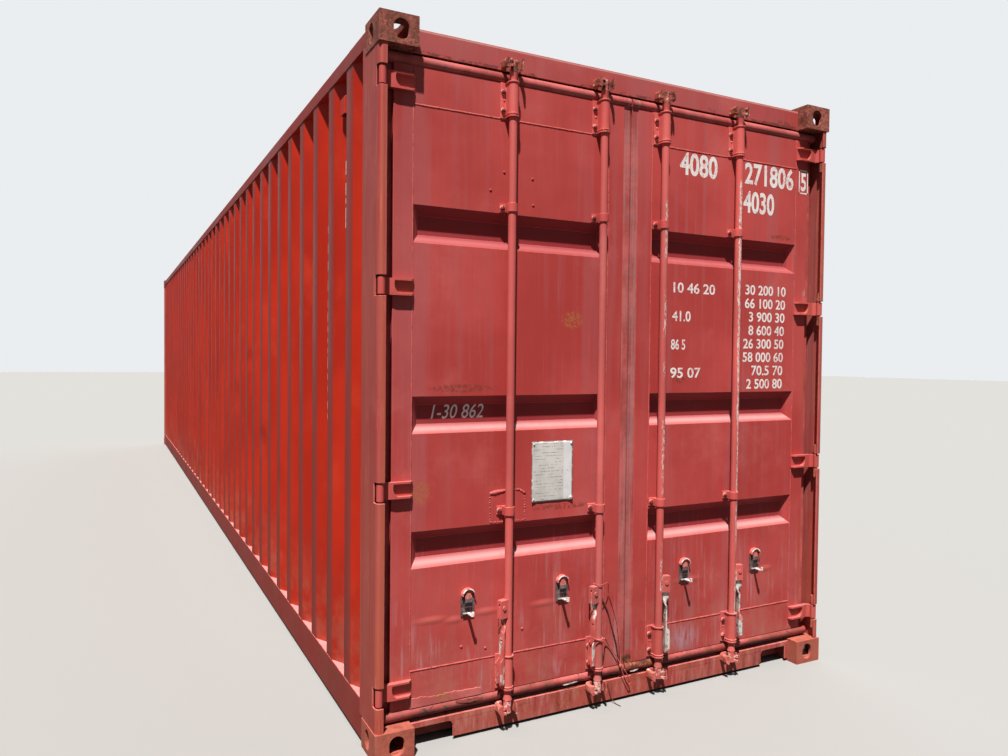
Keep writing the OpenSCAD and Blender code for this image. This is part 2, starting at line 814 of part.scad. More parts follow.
module sill_cut() {
    near = frame_y - sill_cut_from_casting;
    far = near - sill_cut_w;
    box([seat_x, far + sill_cut_r, 0], [face_x + 1, near, sill_cut_h]);
    box([seat_x, far, 0], [face_x + 1, near, sill_cut_h - sill_cut_r]);
    translate([seat_x, far + sill_cut_r, sill_cut_h - sill_cut_r])
        rotate([0, 90, 0]) cylinder(r = sill_cut_r, h = seal_seat + 1, $fn = 48);
}

module door_sill() {
    color(paint) difference() {
        run_across(frame_y) {
            translate([face_x - frame_t, sill_clear]) square([frame_t, sill_top - sill_clear]);
            polygon([[seat_x, sill_top + sill_rise - frame_t], [face_x, sill_top - frame_t],
                [face_x, sill_top], [seat_x, sill_top + sill_rise]]);
            translate([seat_x - frame_t, base_clear]) square([frame_t, floor_top - base_clear]);
        }
        both_sides() sill_cut();
    }
}

// A keeper's plan around a bar's axis: a back against the frame and two horns
// that curl round the cam's toes.
module keeper_plan() {
    back = bar_x - face_x;
    outer = keeper_r + keeper_t;
    lip = horn_x + keeper_lip;
    difference() {
        intersection() {
            union() {
                circle(outer, $fn = 64);
                translate([-back, -outer]) square([back, 2 * outer]);
            }
            translate([-back, -outer]) square([back + lip, 2 * outer]);
        }
        intersection() {
            circle(keeper_r, $fn = 64);
            translate([keeper_t - back, -keeper_r]) square([2 * keeper_r, 2 * keeper_r]);
        }
        translate([0, -horn_y]) square([2 * keeper_r, 2 * horn_y]);
    }
}

// A keeper with rounded corners.
module keeper() {
    outer = keeper_r + keeper_t;
    shoulder = outer - keeper_round;
    intersection() {
        linear_extrude(keeper_h) keeper_plan();
        run_along(-outer, outer) {
            translate([-outer, keeper_round]) square([2 * outer, keeper_h - 2 * keeper_round]);
            translate([-shoulder, 0]) square([2 * shoulder, keeper_h]);
            for (y = [-shoulder, shoulder], z = [keeper_round, keeper_h - keeper_round])
                translate([y, z]) circle(keeper_round, $fn = 48);
        }
    }
}

module four_keepers() {
    both_sides() for (y = [inner_bar_y, outer_bar_y]) translate([bar_x, y, 0]) keeper();
}

module sill_keepers() {
    color(rust) translate([0, 0, keeper_low]) four_keepers();
}

module header_keepers() {
    color(rust) translate([0, 0, 2 * leaf_mid - keeper_low]) mirror([0, 0, 1]) four_keepers();
}

// A cover over the vent holes, open below, its top slanted to shed rain.
module vent() {
    rotate([90, 0, 90]) difference() {
        linear_extrude(vent_w) polygon([[0, 0], [vent_d, 0], [vent_d, vent_h - vent_d], [0, vent_h]]);
        translate([0, 0, wall_t]) linear_extrude(vent_w - 2 * wall_t) polygon([
            [-1, -1], [vent_d - wall_t, -1], [vent_d - wall_t, vent_h - vent_d - wall_t],
            [-1, vent_h + 1 - 2 * wall_t]]);
    }
}

// The vents sit in the second recess from each end, one a side.
module side_vents() {
    pitch = sheet_pitch(wall_flat_out, wall_slope, wall_flat_in);
    margin = sheet_margin(rear_wall_x + front_wall_x, wall_flat_in, pitch);
    recess = margin + pitch + wall_flat_in / 2;
    back = side_y - wall_inset - wall_depth;
    color(paint) {
        on_side(LEFT) translate([rear_wall_x - recess - vent_w / 2, back, rail_base_z - vent_down - vent_h])
            vent();
        on_side(RIGHT) translate([recess - front_wall_x - vent_w / 2, back, rail_base_z - vent_down - vent_h])
            vent();
    }
}

// Door leaves, drawn for the right

module door_stiles(side) {
    color(paint) on_side(side) {
        box([leaf_x - leaf_t, leaf_from_centre, leaf_low], [leaf_x, panel_in, leaf_high]);
        box([leaf_x - leaf_t, panel_out, leaf_low], [leaf_x, leaf_edge, leaf_high]);
    }
}

// Channel rails with their open side towards the cargo.
module door_rail() {
    difference() {
        box([leaf_x - leaf_t, panel_in, 0], [leaf_x, panel_out, leaf_rail_h]);
        box([leaf_x - leaf_t - 1, panel_in - 1, leaf_rail_t],
            [leaf_x - leaf_rail_t, panel_out + 1, leaf_rail_h - leaf_rail_t]);
    }
}

module door_rails(side) {
    color(paint) on_side(side) for (z = [leaf_low, leaf_high - leaf_rail_h])
        translate([0, 0, z]) door_rail();
}

// One trough as a pressed pan: its slopes and slanted ends are cut from two crossing profiles.
module pan(back, grow) {
    half_w = (panel_out - panel_in) / 2;
    half_h = trough_h / 2;
    intersection() {
        rotate([90, 0, 0]) translate([0, 0, -half_w]) linear_extrude(2 * half_w) polygon([
            [back, -half_h - grow], [back - trough_depth, trough_slope - half_h - grow],
            [back - trough_depth, half_h - trough_slope + grow], [back, half_h + grow]]);
        translate([0, 0, -trough_h]) linear_extrude(2 * trough_h) polygon([
            [back, -half_w], [back - trough_depth, trough_slope - half_w],
            [back - trough_depth, half_w - trough_slope], [back, half_w]]);
    }
}

module door_panel(side) {
    slope_shift = panel_t * tan(atan(trough_depth / trough_slope) / 2);
    middle = (panel_in + panel_out) / 2;
    color(paint) on_side(side) difference() {
        union() {
            box([leaf_x - panel_t, panel_in, leaf_low + leaf_rail_h],
                [leaf_x, panel_out, leaf_high - leaf_rail_h]);
            for (z = trough_heights) translate([leaf_x, middle, z]) pan(-panel_t, slope_shift);
        }
        for (z = trough_heights) translate([leaf_x, middle, z]) difference() {
            pan(0, 0);
            for (s = [-1, 1]) translate([-trough_depth - 1, s * (panel_out - panel_in) / 2 - panel_t, -trough_h])
                cube([trough_depth + 2, 2 * panel_t, 2 * trough_h]);
        }
    }
}

// Seal round a leaf: a rounded nose above and below, flat strips beside the stiles,
// and a lip that bears on the frame behind.
module seal_strip(w, front) {
    seat = seat_x + seal_touch;
    translate([front - seal_body, 0]) square([seal_body, w]);
    translate([seat, w - seal_lip - 1]) square([front - seat, seal_lip]);
}

module door_seal(side) {
    centre_w = leaf_from_centre - seal_centre_gap / 2;
    inner = seal_centre_gap / 2;
    outer = leaf_edge + seal_hinge_w;
    nose = end_x - seal_inset - seal_w / 2;
    color(rubber) on_side(side) {
        for (low = [0, 1]) translate([0, 0, low == 0 ? leaf_high : leaf_low]) mirror([0, 0, low]) {
            translate([0, outer, 0]) rotate([90, 0, 0]) linear_extrude(outer - inner)
                seal_strip(seal_w, nose);
            translate([nose, outer, seal_w / 2]) rotate([90, 0, 0])
                cylinder(d = seal_w, h = outer - inner, $fn = 48);
        }
        translate([0, leaf_edge, leaf_low - seal_w]) linear_extrude(leaf_h + 2 * seal_w)
            seal_strip(seal_hinge_w, leaf_x - leaf_t / 2);
        translate([0, leaf_from_centre, leaf_low - seal_w]) linear_extrude(leaf_h + 2 * seal_w)
            mirror([0, 1]) seal_strip(centre_w, leaf_x - seal_centre_inset);
    }
}

// Hinge blade drawn from its pin: X outwards, Y towards the leaf.
module blade_plan() {
    base = pin_x - leaf_x;
    top = base - fin_rise;
    round = knuckle_r * cos(45);
    polygon([
        [-base, blade_reach], [fin_end_h - base, blade_reach], [-top, blade_reach - fin_end],
        [-top, leaf_from_pin], [-top - knuckle_fall, nose_r + nose_clear], [-round, round],
        [0, 0], [-knuckle_r, 0], [-nose_r - nose_clear, knuckle_fall], [-base, nose_r + nose_clear / 2]]);
}

module hinge() {
    base = pin_x - leaf_x;
    difference() {
        union() {
            translate([0, 0, -blade_h / 2]) cylinder(r = knuckle_r, h = blade_h, $fn = 48);
            difference() {
                translate([0, 0, -blade_h / 2]) linear_extrude(blade_h) blade_plan();
                translate([flange_t - base, leaf_from_pin, fin_t - blade_h / 2])
                    cube([base, blade_reach, blade_h - 2 * fin_t]);
            }
            intersection() {
                translate([0, 0, -blade_h / 2]) linear_extrude(blade_h) blade_plan();
                difference() {
                    translate([-base, leaf_from_pin - 1, -blade_h / 2])
                        cube([base, scoop_r, blade_h]);
                    translate([-base - 1, leaf_from_pin + scoop_r, scoop_up])
                        rotate([0, 90, 0]) cylinder(r = scoop_r, h = base + 2, $fn = 64);
                }
            }
        }
        cylinder(r = pin_r + pin_gap, h = blade_h + 2, center = true, $fn = 48);
    }
}

module door_hinges(side) {
    color(paint) on_side(side) for (z = hinge_heights)
        translate([pin_x, pin_y, z]) mirror([0, 1, 0]) hinge();
}

// Bracket round a bar: a half-round shell on a foot, with one bolting flange.
module bracket_plan(r, bore) {
    difference() {
        union() {
            circle(r, $fn = 48);
            translate([-bar_stand, -r]) square([bar_stand, 2 * r]);
        }
        circle(bore, $fn = 48);
        translate([sleeve_t - bar_stand, -bore]) square([bar_stand - sleeve_t, 2 * bore]);
    }
}

// A long bracket, a little wider below, with one collar above and two below.
module sleeve_bracket() {
    bore = bar_r + bar_gap;
    linear_extrude(sleeve_l) bracket_plan(sleeve_r - sleeve_flare, bore);
    difference() {
        cylinder(r1 = sleeve_r, r2 = sleeve_r - sleeve_flare, h = sleeve_l, $fn = 48);
        translate([0, 0, -1]) cylinder(r = bore, h = sleeve_l + 2, $fn = 48);
    }
    for (z = [0, collar_h + collar_groove, sleeve_l - collar_h]) translate([0, 0, z])
        linear_extrude(collar_h) bracket_plan(sleeve_r + collar_out, bore);
    box([-bar_stand, -sleeve_r - flange_w, 0], [flange_t - bar_stand, -bore, sleeve_l]);
}

module guide_strap() {
    bore = bar_r + bar_gap;
    linear_extrude(strap_h) bracket_plan(sleeve_r, bore);
    box([-bar_stand, -sleeve_r - flange_w, 0], [flange_t - bar_stand, -sleeve_r, strap_h]);
}

// The flanges lie on the left of every bar, on both doors.
module door_bar_brackets(side) {
    color(paint) for (y = [side * inner_bar_y, side * outer_bar_y]) translate([bar_x, y, 0]) {
        for (z = [leaf_low + sleeve_from_bottom, leaf_high - sleeve_from_top - sleeve_l])
            translate([0, 0, z]) sleeve_bracket();
        for (z = [y == -outer_bar_y ? strap_low + strap_raise : strap_low, strap_high])
            translate([0, 0, leaf_low + z - strap_h / 2]) guide_strap();
    }
}

// Catch for a handle: a plate with a ledge and an upturned hook below, and above them
// a flap that hangs from a boss under a curved hood.
module handle_catch() {
    shelf = -handle_t / 2 - catch_gap;
    lip = bar_stand + handle_w / 2 + catch_gap;
    half = catch_w / 2 - catch_t;
    boss_z = catch_top - boss_down;
    color(bare) {
        box([0, -catch_w / 2, shelf - 3 * catch_t], [catch_t, catch_w / 2, boss_z]);
        intersection() {
            translate([0, 0, boss_z]) rotate([0, 90, 0]) difference() {
                cylinder(d = catch_w, h = hood_d, $fn = 64);
                translate([0, 0, catch_t]) cylinder(d = catch_w - 2 * catch_t, h = hood_d, $fn = 64);
            }
            box([0, -catch_w / 2, boss_z], [hood_d, catch_w / 2, catch_top + catch_w]);
        }
        box([0, -half, shelf - catch_t], [catch_ledge, half, shelf]);
        box([0, -hook_w / 2, shelf - catch_t], [lip + catch_t, hook_w / 2, shelf]);
        box([lip, -hook_w / 2, shelf - catch_t], [lip + catch_t, hook_w / 2, shelf + catch_gap + handle_t]);
        translate([0, 0, boss_z]) rotate([0, 90, 0]) cylinder(r = boss_r, h = 3 * catch_t, $fn = 48);
        box([2 * catch_t, -catch_w / 4, handle_w / 2], [3 * catch_t, catch_w / 4, boss_z]);
    }
}

module door_handle_catches(side) {
    for (y = [inner_bar_y, outer_bar_y])
        translate([leaf_x, side * (y + catch_reach), pivot_z]) handle_catch();
}

// Locking bars, drawn about their axis: X away from the door, Y towards the hinge side

// Cam below the bar: a bell, a body and two toes that turn inside the keeper.
module cam() {
    body = bell_mouth - cam_low;
    translate([0, 0, cam_low]) cylinder(r = bar_r, h = body, $fn = 48);
    translate([0, 0, bell_mouth]) cylinder(r1 = bell_r, r2 = bell_neck_r, h = bell_h, $fn = 48);
    translate([0, 0, bell_mouth + bell_h])
        cylinder(r = bell_neck_r, h = tube_low - bell_mouth - bell_h, $fn = 48);
    for (z = [cam_low, cam_low + keeper_h - 2 * cam_inset - toe_t])
        translate([0, 0, z]) intersection() {
            cylinder(r = toe_r, h = toe_t, $fn = 64);
            linear_extrude(toe_t) polygon([
                [0, 0], 2 * toe_r * [sin(toe_lead), cos(toe_lead)],
                2 * toe_r * [sin(toe_lead + toe_span), cos(toe_lead + toe_span)]]);
        }
}

module handle_hub() {
    far = pivot_out + handle_w / 2 + hub_room;
    near = pivot_out - handle_w / 2 - hub_room;
    difference() {
        box([-hub_w / 2, bar_r / 2, pivot_z + hub_rise - hub_h], [hub_w / 2, far, pivot_z + hub_rise]);
        box([-handle_t / 2 - pivot_gap, near, pivot_z + hub_rise - hub_h - 1],
            [handle_t / 2 + pivot_gap, far + 1, pivot_z + handle_w / 2 + 2 * hub_room]);
    }
    translate([-hub_w / 2, pivot_out, pivot_z]) rotate([0, 90, 0])
        cylinder(r = pivot_r, h = hub_w + pivot_r * 0.75, $fn = 48);
    translate([hub_w / 2, pivot_out, pivot_z]) rotate([0, 90, 0])
        cylinder(r = pivot_r * 1.5, h = pivot_r * 0.75, $fn = 48);
}

module locking_bar(side, y) {
    color(paint) on_side(side) translate([bar_x, y, 0]) rotate(-rest_angle) difference() {
        union() {
            translate([0, 0, tube_low]) cylinder(r = bar_r, h = tube_high - tube_low, $fn = 48);
            cam();
            translate([0, 0, 2 * leaf_mid]) mirror([0, 0, 1]) cam();
            handle_hub();
        }
        translate([0, 0, tube_low + bar_plug])
            cylinder(r = bar_r - bar_t, h = tube_high - tube_low - 2 * bar_plug, $fn = 48);
    }
}

// A flat bar that hangs between the hub's cheeks and turns its face below the twist.
// Its grip has both edges folded up.
module handle(side, y) {
    twist_z = pivot_z - twist_down;
    flat_z = twist_z - twist_l;
    end_z = pivot_z - handle_l;
    grip_z = pivot_z - grip_down;
    color(bare) on_side(side) translate([bar_x, y, 0]) rotate(-rest_angle) difference() {
        translate([0, pivot_out, 0]) union() {
            translate([-handle_t / 2, 0, pivot_z]) rotate([0, 90, 0])
                cylinder(d = handle_w, h = handle_t, $fn = 48);
            box([-handle_t / 2, -handle_w / 2, twist_z], [handle_t / 2, handle_w / 2, pivot_z]);
            translate([0, 0, flat_z]) linear_extrude(twist_l, twist = 90, slices = 9)
                square([handle_w, handle_t], center = true);
            box([-handle_w / 2, -handle_t / 2, end_z + handle_w / 2], [handle_w / 2, handle_t / 2, flat_z]);
            translate([0, handle_t / 2, end_z + handle_w / 2]) rotate([90, 0, 0])
                cylinder(d = handle_w, h = handle_t, $fn = 48);
            for (turn = [0, 1]) mirror([turn, 0, 0])
                translate([handle_w / 2 - grip_t, 0, 0]) rotate([90, 0, 90]) linear_extrude(grip_t)
                    polygon([[0, end_z + handle_w / 2], [handle_t / 2 + grip_d, end_z + handle_w / 2],
                        [handle_t / 2 + grip_d, grip_z - grip_d], [handle_t / 2, grip_z], [0, grip_z]]);
        }
        translate([-handle_w, pivot_out, pivot_z]) rotate([0, 90, 0])
            cylinder(r = pivot_r + pivot_gap, h = 2 * handle_w, $fn = 48);
        translate([0, pivot_out + handle_w, pivot_z - seal_hole_down]) rotate([90, 0, 0])
            cylinder(r = seal_hole_r, h = 2 * handle_w, $fn = 48);
    }
}

top_corner_castings();
bottom_corner_castings();
front_corner_posts();
rear_corner_posts();
rear_post_channels();
hinge_pins();
top_side_rails();
bottom_side_rails();
side_wall(LEFT);  // left_side_wall
side_wall(RIGHT);  // right_side_wall
front_wall();
roof();
roof_corner_plates();
front_top_rail();
front_bottom_rail();
door_header();
door_sill();
floor_boards();
cross_members();
gooseneck_tunnel();
header_keepers();
sill_keepers();
side_vents();
door_stiles(LEFT);  // left_door_stiles
door_rails(LEFT);  // left_door_rails
door_panel(LEFT);  // left_door_panel
door_seal(LEFT);  // left_door_seal
door_hinges(LEFT);  // left_door_hinges
door_bar_brackets(LEFT);  // left_door_bar_brackets
door_handle_catches(LEFT);  // left_door_handle_catches
door_stiles(RIGHT);  // right_door_stiles
door_rails(RIGHT);  // right_door_rails
door_panel(RIGHT);  // right_door_panel
door_seal(RIGHT);  // right_door_seal
door_hinges(RIGHT);  // right_door_hinges
door_bar_brackets(RIGHT);  // right_door_bar_brackets
door_handle_catches(RIGHT);  // right_door_handle_catches
locking_bar(LEFT, outer_bar_y);  // left_outer_locking_bar
locking_bar(LEFT, inner_bar_y);  // left_inner_locking_bar
locking_bar(RIGHT, inner_bar_y);  // right_inner_locking_bar
locking_bar(RIGHT, outer_bar_y);  // right_outer_locking_bar
handle(LEFT, outer_bar_y);  // left_outer_handle
handle(LEFT, inner_bar_y);  // left_inner_handle
handle(RIGHT, inner_bar_y);  // right_inner_handle
handle(RIGHT, outer_bar_y);  // right_outer_handle
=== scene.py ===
import math
import random

import bmesh
import bpy
from mathutils import Matrix, Vector, noise


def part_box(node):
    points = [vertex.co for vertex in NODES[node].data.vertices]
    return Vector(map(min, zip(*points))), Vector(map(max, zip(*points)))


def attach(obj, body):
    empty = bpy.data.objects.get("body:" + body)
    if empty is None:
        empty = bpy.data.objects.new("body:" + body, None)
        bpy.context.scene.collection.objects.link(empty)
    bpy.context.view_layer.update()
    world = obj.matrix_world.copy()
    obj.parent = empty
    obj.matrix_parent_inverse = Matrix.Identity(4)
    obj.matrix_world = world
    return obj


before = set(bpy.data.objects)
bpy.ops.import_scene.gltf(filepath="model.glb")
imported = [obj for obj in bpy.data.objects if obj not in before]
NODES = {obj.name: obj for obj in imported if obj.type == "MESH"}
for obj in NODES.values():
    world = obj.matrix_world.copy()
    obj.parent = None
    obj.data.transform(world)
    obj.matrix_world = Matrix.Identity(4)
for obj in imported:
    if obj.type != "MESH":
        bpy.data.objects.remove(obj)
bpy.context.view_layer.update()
random.seed(7)
bpy.context.scene.view_settings.view_transform = "Standard"
MM = 0.001

# Places that the CAD gives
LEAF_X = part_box("left_door_stiles")[1].x
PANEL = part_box("right_door_panel")
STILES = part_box("right_door_stiles")
BARS = {
    "left_outer": -0.629, "left_inner": -0.171, "right_inner": 0.171, "right_outer": 0.629,
}
LEAF_LOW = STILES[0].z
LEAF_HIGH = STILES[1].z
PANEL_IN = PANEL[0].y
PANEL_OUT = PANEL[1].y
RAIL_H = 150 * MM
TROUGH_X = LEAF_X - 40 * MM
SLEEVE_L = 147 * MM
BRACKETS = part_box("right_door_bar_brackets")
SLEEVE_TOPS = (BRACKETS[0].z + SLEEVE_L, BRACKETS[1].z)
STRAP_Z = (0.914, 2.208)
RAISED_STRAP_Z = 0.939
FLANGE_X = LEAF_X + 6 * MM
FLANGE_MIDDLE = 33.5 * MM
LEAF_GAP = 50 * MM
HEADER_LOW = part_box("door_header")[0].z + LEAF_GAP
HEADER_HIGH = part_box("door_header")[1].z
END_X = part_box("door_sill")[1].x
FRONT_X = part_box("front_wall")[1].x + 1 * MM
WALL_RECESS_Y = -1.176


# Camera and stage

PHOTO_WIDTH = 1008
FOCAL_PIXELS = 770.83
SENSOR = 36.0
FLOOR_REACH = 70.0


def add_object(name, data):
    """An object of the scene that shows this data."""
    made = bpy.data.objects.new(name, data)
    bpy.context.scene.collection.objects.link(made)
    return made


def make_camera():
    """The camera that was solved from the container's corners in the photo."""
    right = Vector((0.4585, 0.8886, 0.0101))
    down = Vector((0.0269, -0.0025, -0.9996))
    forward = Vector((-0.8883, 0.4586, -0.0250))
    data = bpy.data.cameras.new("camera")
    data.sensor_width = SENSOR
    data.lens = SENSOR * FOCAL_PIXELS / PHOTO_WIDTH
    camera = add_object("camera", data)
    turn = Matrix((right, -down, -forward)).transposed().to_4x4()
    camera.matrix_world = Matrix.Translation((8.9241, -2.1355, 1.5788)) @ turn
    bpy.context.scene.camera = camera


def add_node(tree, kind):
    return tree.nodes.new("ShaderNode" + kind)


def split_rays(tree, out, lit, shown):
    """Shows one shader to the camera and lets the other light the scene."""
    mix = add_node(tree, "MixShader")
    tree.links.new(add_node(tree, "LightPath").outputs["Is Camera Ray"], mix.inputs[0])
    tree.links.new(lit.outputs[0], mix.inputs[1])
    tree.links.new(shown.outputs[0], mix.inputs[2])
    tree.links.new(mix.outputs[0], add_node(tree, out).inputs["Surface"])


def make_stage():
    """A plain floor, which throws back less light than it shows."""
    data = bpy.data.meshes.new("studio_floor")
    corners = [(FLOOR_REACH * x, FLOOR_REACH * y, 0) for x, y in ((-1, -1), (1, -1), (1, 1), (-1, 1))]
    data.from_pydata(corners, [], [(0, 1, 2, 3)])
    add_object("studio_floor", data)
    material = bpy.data.materials.new("studio_floor")
    material.use_nodes = True
    tree = material.node_tree
    tree.nodes.clear()
    bounce = add_node(tree, "BsdfDiffuse")
    bounce.inputs["Color"].default_value = (0.085, 0.082, 0.078, 1)
    shown = add_node(tree, "BsdfDiffuse")
    shown.inputs["Color"].default_value = (0.335, 0.33, 0.318, 1)
    split_rays(tree, "OutputMaterial", bounce, shown)
    data.materials.append(material)


def make_lights():
    """Sun on the doors, and a sky that is brighter behind the camera than behind the container."""
    sun = bpy.data.lights.new("key", "SUN")
    sun.energy = 6.8
    sun.angle = math.radians(1.6)
    sun.color = (1.0, 0.985, 0.96)
    lamp = add_object("key", sun)
    lamp.rotation_mode = "QUATERNION"
    lamp.rotation_quaternion = Vector((1.0, -0.70, 2.40)).to_track_quat("Z", "Y")
    world = bpy.data.worlds.new("studio")
    bpy.context.scene.world = world
    world.use_nodes = True
    tree = world.node_tree
    tree.nodes.clear()
    fill = add_node(tree, "Background")
    fill.inputs["Color"].default_value = (0.90, 0.94, 1.0, 1)
    bright = add_node(tree, "VectorMath")
    bright.operation = "DOT_PRODUCT"
    tree.links.new(add_node(tree, "TexCoord").outputs["Generated"], bright.inputs[0])
    bright.inputs[1].default_value = (-0.75, 0.62, 0.23)
    level = add_node(tree, "MapRange")
    level.interpolation_type = "SMOOTHSTEP"
    tree.links.new(bright.outputs["Value"], level.inputs["Value"])
    for name, value in (("From Min", 0.25), ("From Max", 0.95), ("To Min", 0.14), ("To Max", 1.3)):
        level.inputs[name].default_value = value
    tree.links.new(level.outputs["Result"], fill.inputs["Strength"])
    seen = add_node(tree, "Background")
    seen.inputs["Color"].default_value = (0.83, 0.85, 0.87, 1)
    seen.inputs["Strength"].default_value = 1.0
    split_rays(tree, "OutputWorld", fill, seen)


# Loose wires

WIRE_STEP = 0.006


def smooth_path(points, step):
    """Points about a step apart on a smooth curve through the given ones."""
    points = [Vector(p) for p in points]
    fine = []
    for i in range(len(points) - 1):
        a = points[max(i - 1, 0)]
        b = points[i]
        c = points[i + 1]
        d = points[min(i + 2, len(points) - 1)]
        count = max(2, round((c - b).length / step))
        for k in range(count):
            t = k / count
            fine.append(0.5 * (2 * b + (c - a) * t + (2 * a - 5 * b + 4 * c - d) * t ** 2
                               + (3 * b - a - 3 * c + d) * t ** 3))
    return fine + [points[-1]]


def make_wire(name, points, diameter, body):
    path = smooth_path(points, WIRE_STEP)
    bm = bmesh.new()
    steps = 10
    side = Vector((0, 0, 1)).cross(path[1] - path[0]).normalized()
    rings = []
    for i, point in enumerate(path):
        along = (path[min(i + 1, len(path) - 1)] - path[max(i - 1, 0)]).normalized()
        side = (side - along * side.dot(along)).normalized()
        other = along.cross(side)
        rings.append([bm.verts.new(point + diameter / 2 * (
            side * math.cos(2 * math.pi * k / steps) + other * math.sin(2 * math.pi * k / steps)))
            for k in range(steps)])
    skin(bm, rings)
    wire = piece_from(bm, name, body)
    return wire


def make_knot(centre):
    """Lump of twisted wire that ties the strands together."""
    bm = bmesh.new()
    bmesh.ops.create_icosphere(bm, subdivisions=3, radius=0.0062)
    for vert in bm.verts:
        vert.co *= 1 + 0.45 * noise.noise(vert.co * 260)
        vert.co.z *= 1.5
        vert.co += centre
    return piece_from(bm, "wire_knot", "left_door")


def make_wires():
    """Wires that tie the left leaf's inner handle, and one that has dropped to the ground."""
    knot = Vector((6.050, -0.032, 0.170))
    lump = make_knot(knot)
    hub_wire = [(6.050, -0.193, 0.574), (6.0850, -0.185, 0.573), (6.0895, -0.170, 0.573),
                (6.0840, -0.152, 0.5735), (6.074, -0.131, 0.573), (6.060, -0.114, 0.560),
                (6.0455, -0.103, 0.525),
                (6.038, -0.083, 0.476), (6.0355, -0.058, 0.409), (6.0365, -0.040, 0.339),
                (6.043, -0.033, 0.252), tuple(knot + Vector((0.001, 0, 0.004)))]
    dark_wire = [(6.044, -0.142, 0.513), (6.040, -0.129, 0.483), (6.0375, -0.099, 0.428),
                 (6.037, -0.075, 0.354), (6.039, -0.053, 0.279), (6.044, -0.040, 0.211),
                 tuple(knot + Vector((-0.002, 0, 0.003)))]
    grip_wire = [(6.084, -0.232, 0.352), (6.0925, -0.214, 0.340), (6.0925, -0.186, 0.326),
                 (6.090, -0.163, 0.318), (6.072, -0.141, 0.317), (6.052, -0.121, 0.310),
                 (6.041, -0.090, 0.268), (6.0445, -0.047, 0.206), tuple(knot)]
    tail = [tuple(knot), (6.051, -0.024, 0.142), (6.051, -0.009, 0.110), (6.051, 0.004, 0.088),
            (6.053, 0.012, 0.077), (6.055, 0.021, 0.080), (6.056, 0.018, 0.094), (6.056, 0.002, 0.124),
            (6.056, -0.014, 0.151)]
    ground = [(6.0375, -0.098, 0.100), (6.0375, -0.090, 0.072), (6.0385, -0.083, 0.048),
              (6.0440, -0.074, 0.022), (6.0560, -0.066, 0.006), (6.072, -0.061, 0.0025),
              (6.090, -0.058, 0.0025)]
    wires = [
        (make_wire("wire_from_hub", hub_wire, 0.0035, "left_door"), "salmon"),
        (make_wire("wire_behind_bar", dark_wire, 0.0055, "left_door"), "dark"),
        (make_wire("wire_from_grip", grip_wire, 0.0050, "left_door"), "salmon"),
        (make_wire("wire_tail", tail, 0.0045, "left_door"), "salmon"),
        (make_wire("wire_on_ground", ground, 0.0035, "container"), "dark"),
    ]
    return wires + [(lump, "salmon")]


# Small pieces

SUNK = 1 * MM
PAINT = 0.4 * MM
BOLT_PROFILE = [(-SUNK, 0), (-SUNK, 0.0118), (0.0020, 0.0118), (0.0026, 0.0100), (0.0065, 0.0097),
                (0.0095, 0.0074), (0.0110, 0.0036), (0.0113, 0)]
BEAD_PROFILE = ((-1.3, -0.3), (-0.95, 0.45), (0, 0.85), (0.95, 0.45), (1.3, -0.3))


def piece_from(bm, name, body, look=None, smooth=True):
    """A piece that rides on a body, made of the faces drawn so far."""
    data = bpy.data.meshes.new(name)
    bmesh.ops.recalc_face_normals(bm, faces=bm.faces)
    bm.to_mesh(data)
    bm.free()
    if smooth:
        data.shade_smooth()
    piece = add_object(name, data)
    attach(piece, body)
    if look:
        data.materials.append(look)
    return piece


def skin(bm, rings):
    """A closed tube over rings of points."""
    count = len(rings[0])
    for low, high in zip(rings, rings[1:]):
        for k in range(count):
            bm.faces.new((low[k], low[(k + 1) % count], high[(k + 1) % count], high[k]))
    bm.faces.new(rings[0])
    bm.faces.new(rings[-1])


def turned(bm, centre, profile, steps=16):
    """A solid turned about X, from pairs of height and radius that start and end at radius 0."""
    rings = []
    for height, radius in profile:
        if radius == 0:
            rings.append([bm.verts.new(Vector(centre) + Vector((height, 0, 0)))])
            continue
        rings.append([bm.verts.new(Vector(centre) + Vector((
            height, radius * math.cos(2 * math.pi * k / steps), radius * math.sin(2 * math.pi * k / steps))))
            for k in range(steps)])
    for low, high in zip(rings, rings[1:]):
        for k in range(steps):
            corners = [low[k % len(low)], low[(k + 1) % len(low)], high[(k + 1) % len(high)],
                       high[k % len(high)]]
            bm.faces.new(list(dict.fromkeys(corners)))


def dome(bm, centre, radius, height):
    """A low round head, sunk a little into the face that it stands on."""
    turned(bm, centre, [(-SUNK, 0), (-SUNK, radius), (0.35 * height, radius),
                        (0.7 * height, 0.84 * radius), (0.92 * height, 0.5 * radius), (height, 0)])


def bead(bm, start, end, radius, rough=0.22, step=0.006):
    """A weld that lies on a leaf's face, in ripples, from one point to another."""
    start = Vector(start)
    end = Vector(end)
    along = (end - start).normalized()
    side = Vector((1, 0, 0)).cross(along)
    count = max(2, round((end - start).length / step))
    rings = []
    for i in range(count + 1):
        point = start + (end - start) * (i / count)
        size = radius * (1 + 0.12 * (i % 2) + rough * noise.noise(point * 90)
                         + rough * noise.noise(point * 23))
        point = point + side * radius * 0.35 * noise.noise(point * 31 + Vector((5, 0, 0)))
        rings.append([bm.verts.new(point + side * size * across + Vector((size * up, 0, 0)))
                      for across, up in BEAD_PROFILE])
    skin(bm, rings)


def slab(bm, low, high):
    """A thin plate between two corners."""
    made = bmesh.ops.create_cube(bm, size=1.0)["verts"]
    low = Vector(low)
    high = Vector(high)
    for vert in made:
        vert.co = Vector([a + (b - a) * (c + 0.5) for a, b, c in zip(low, high, vert.co)])


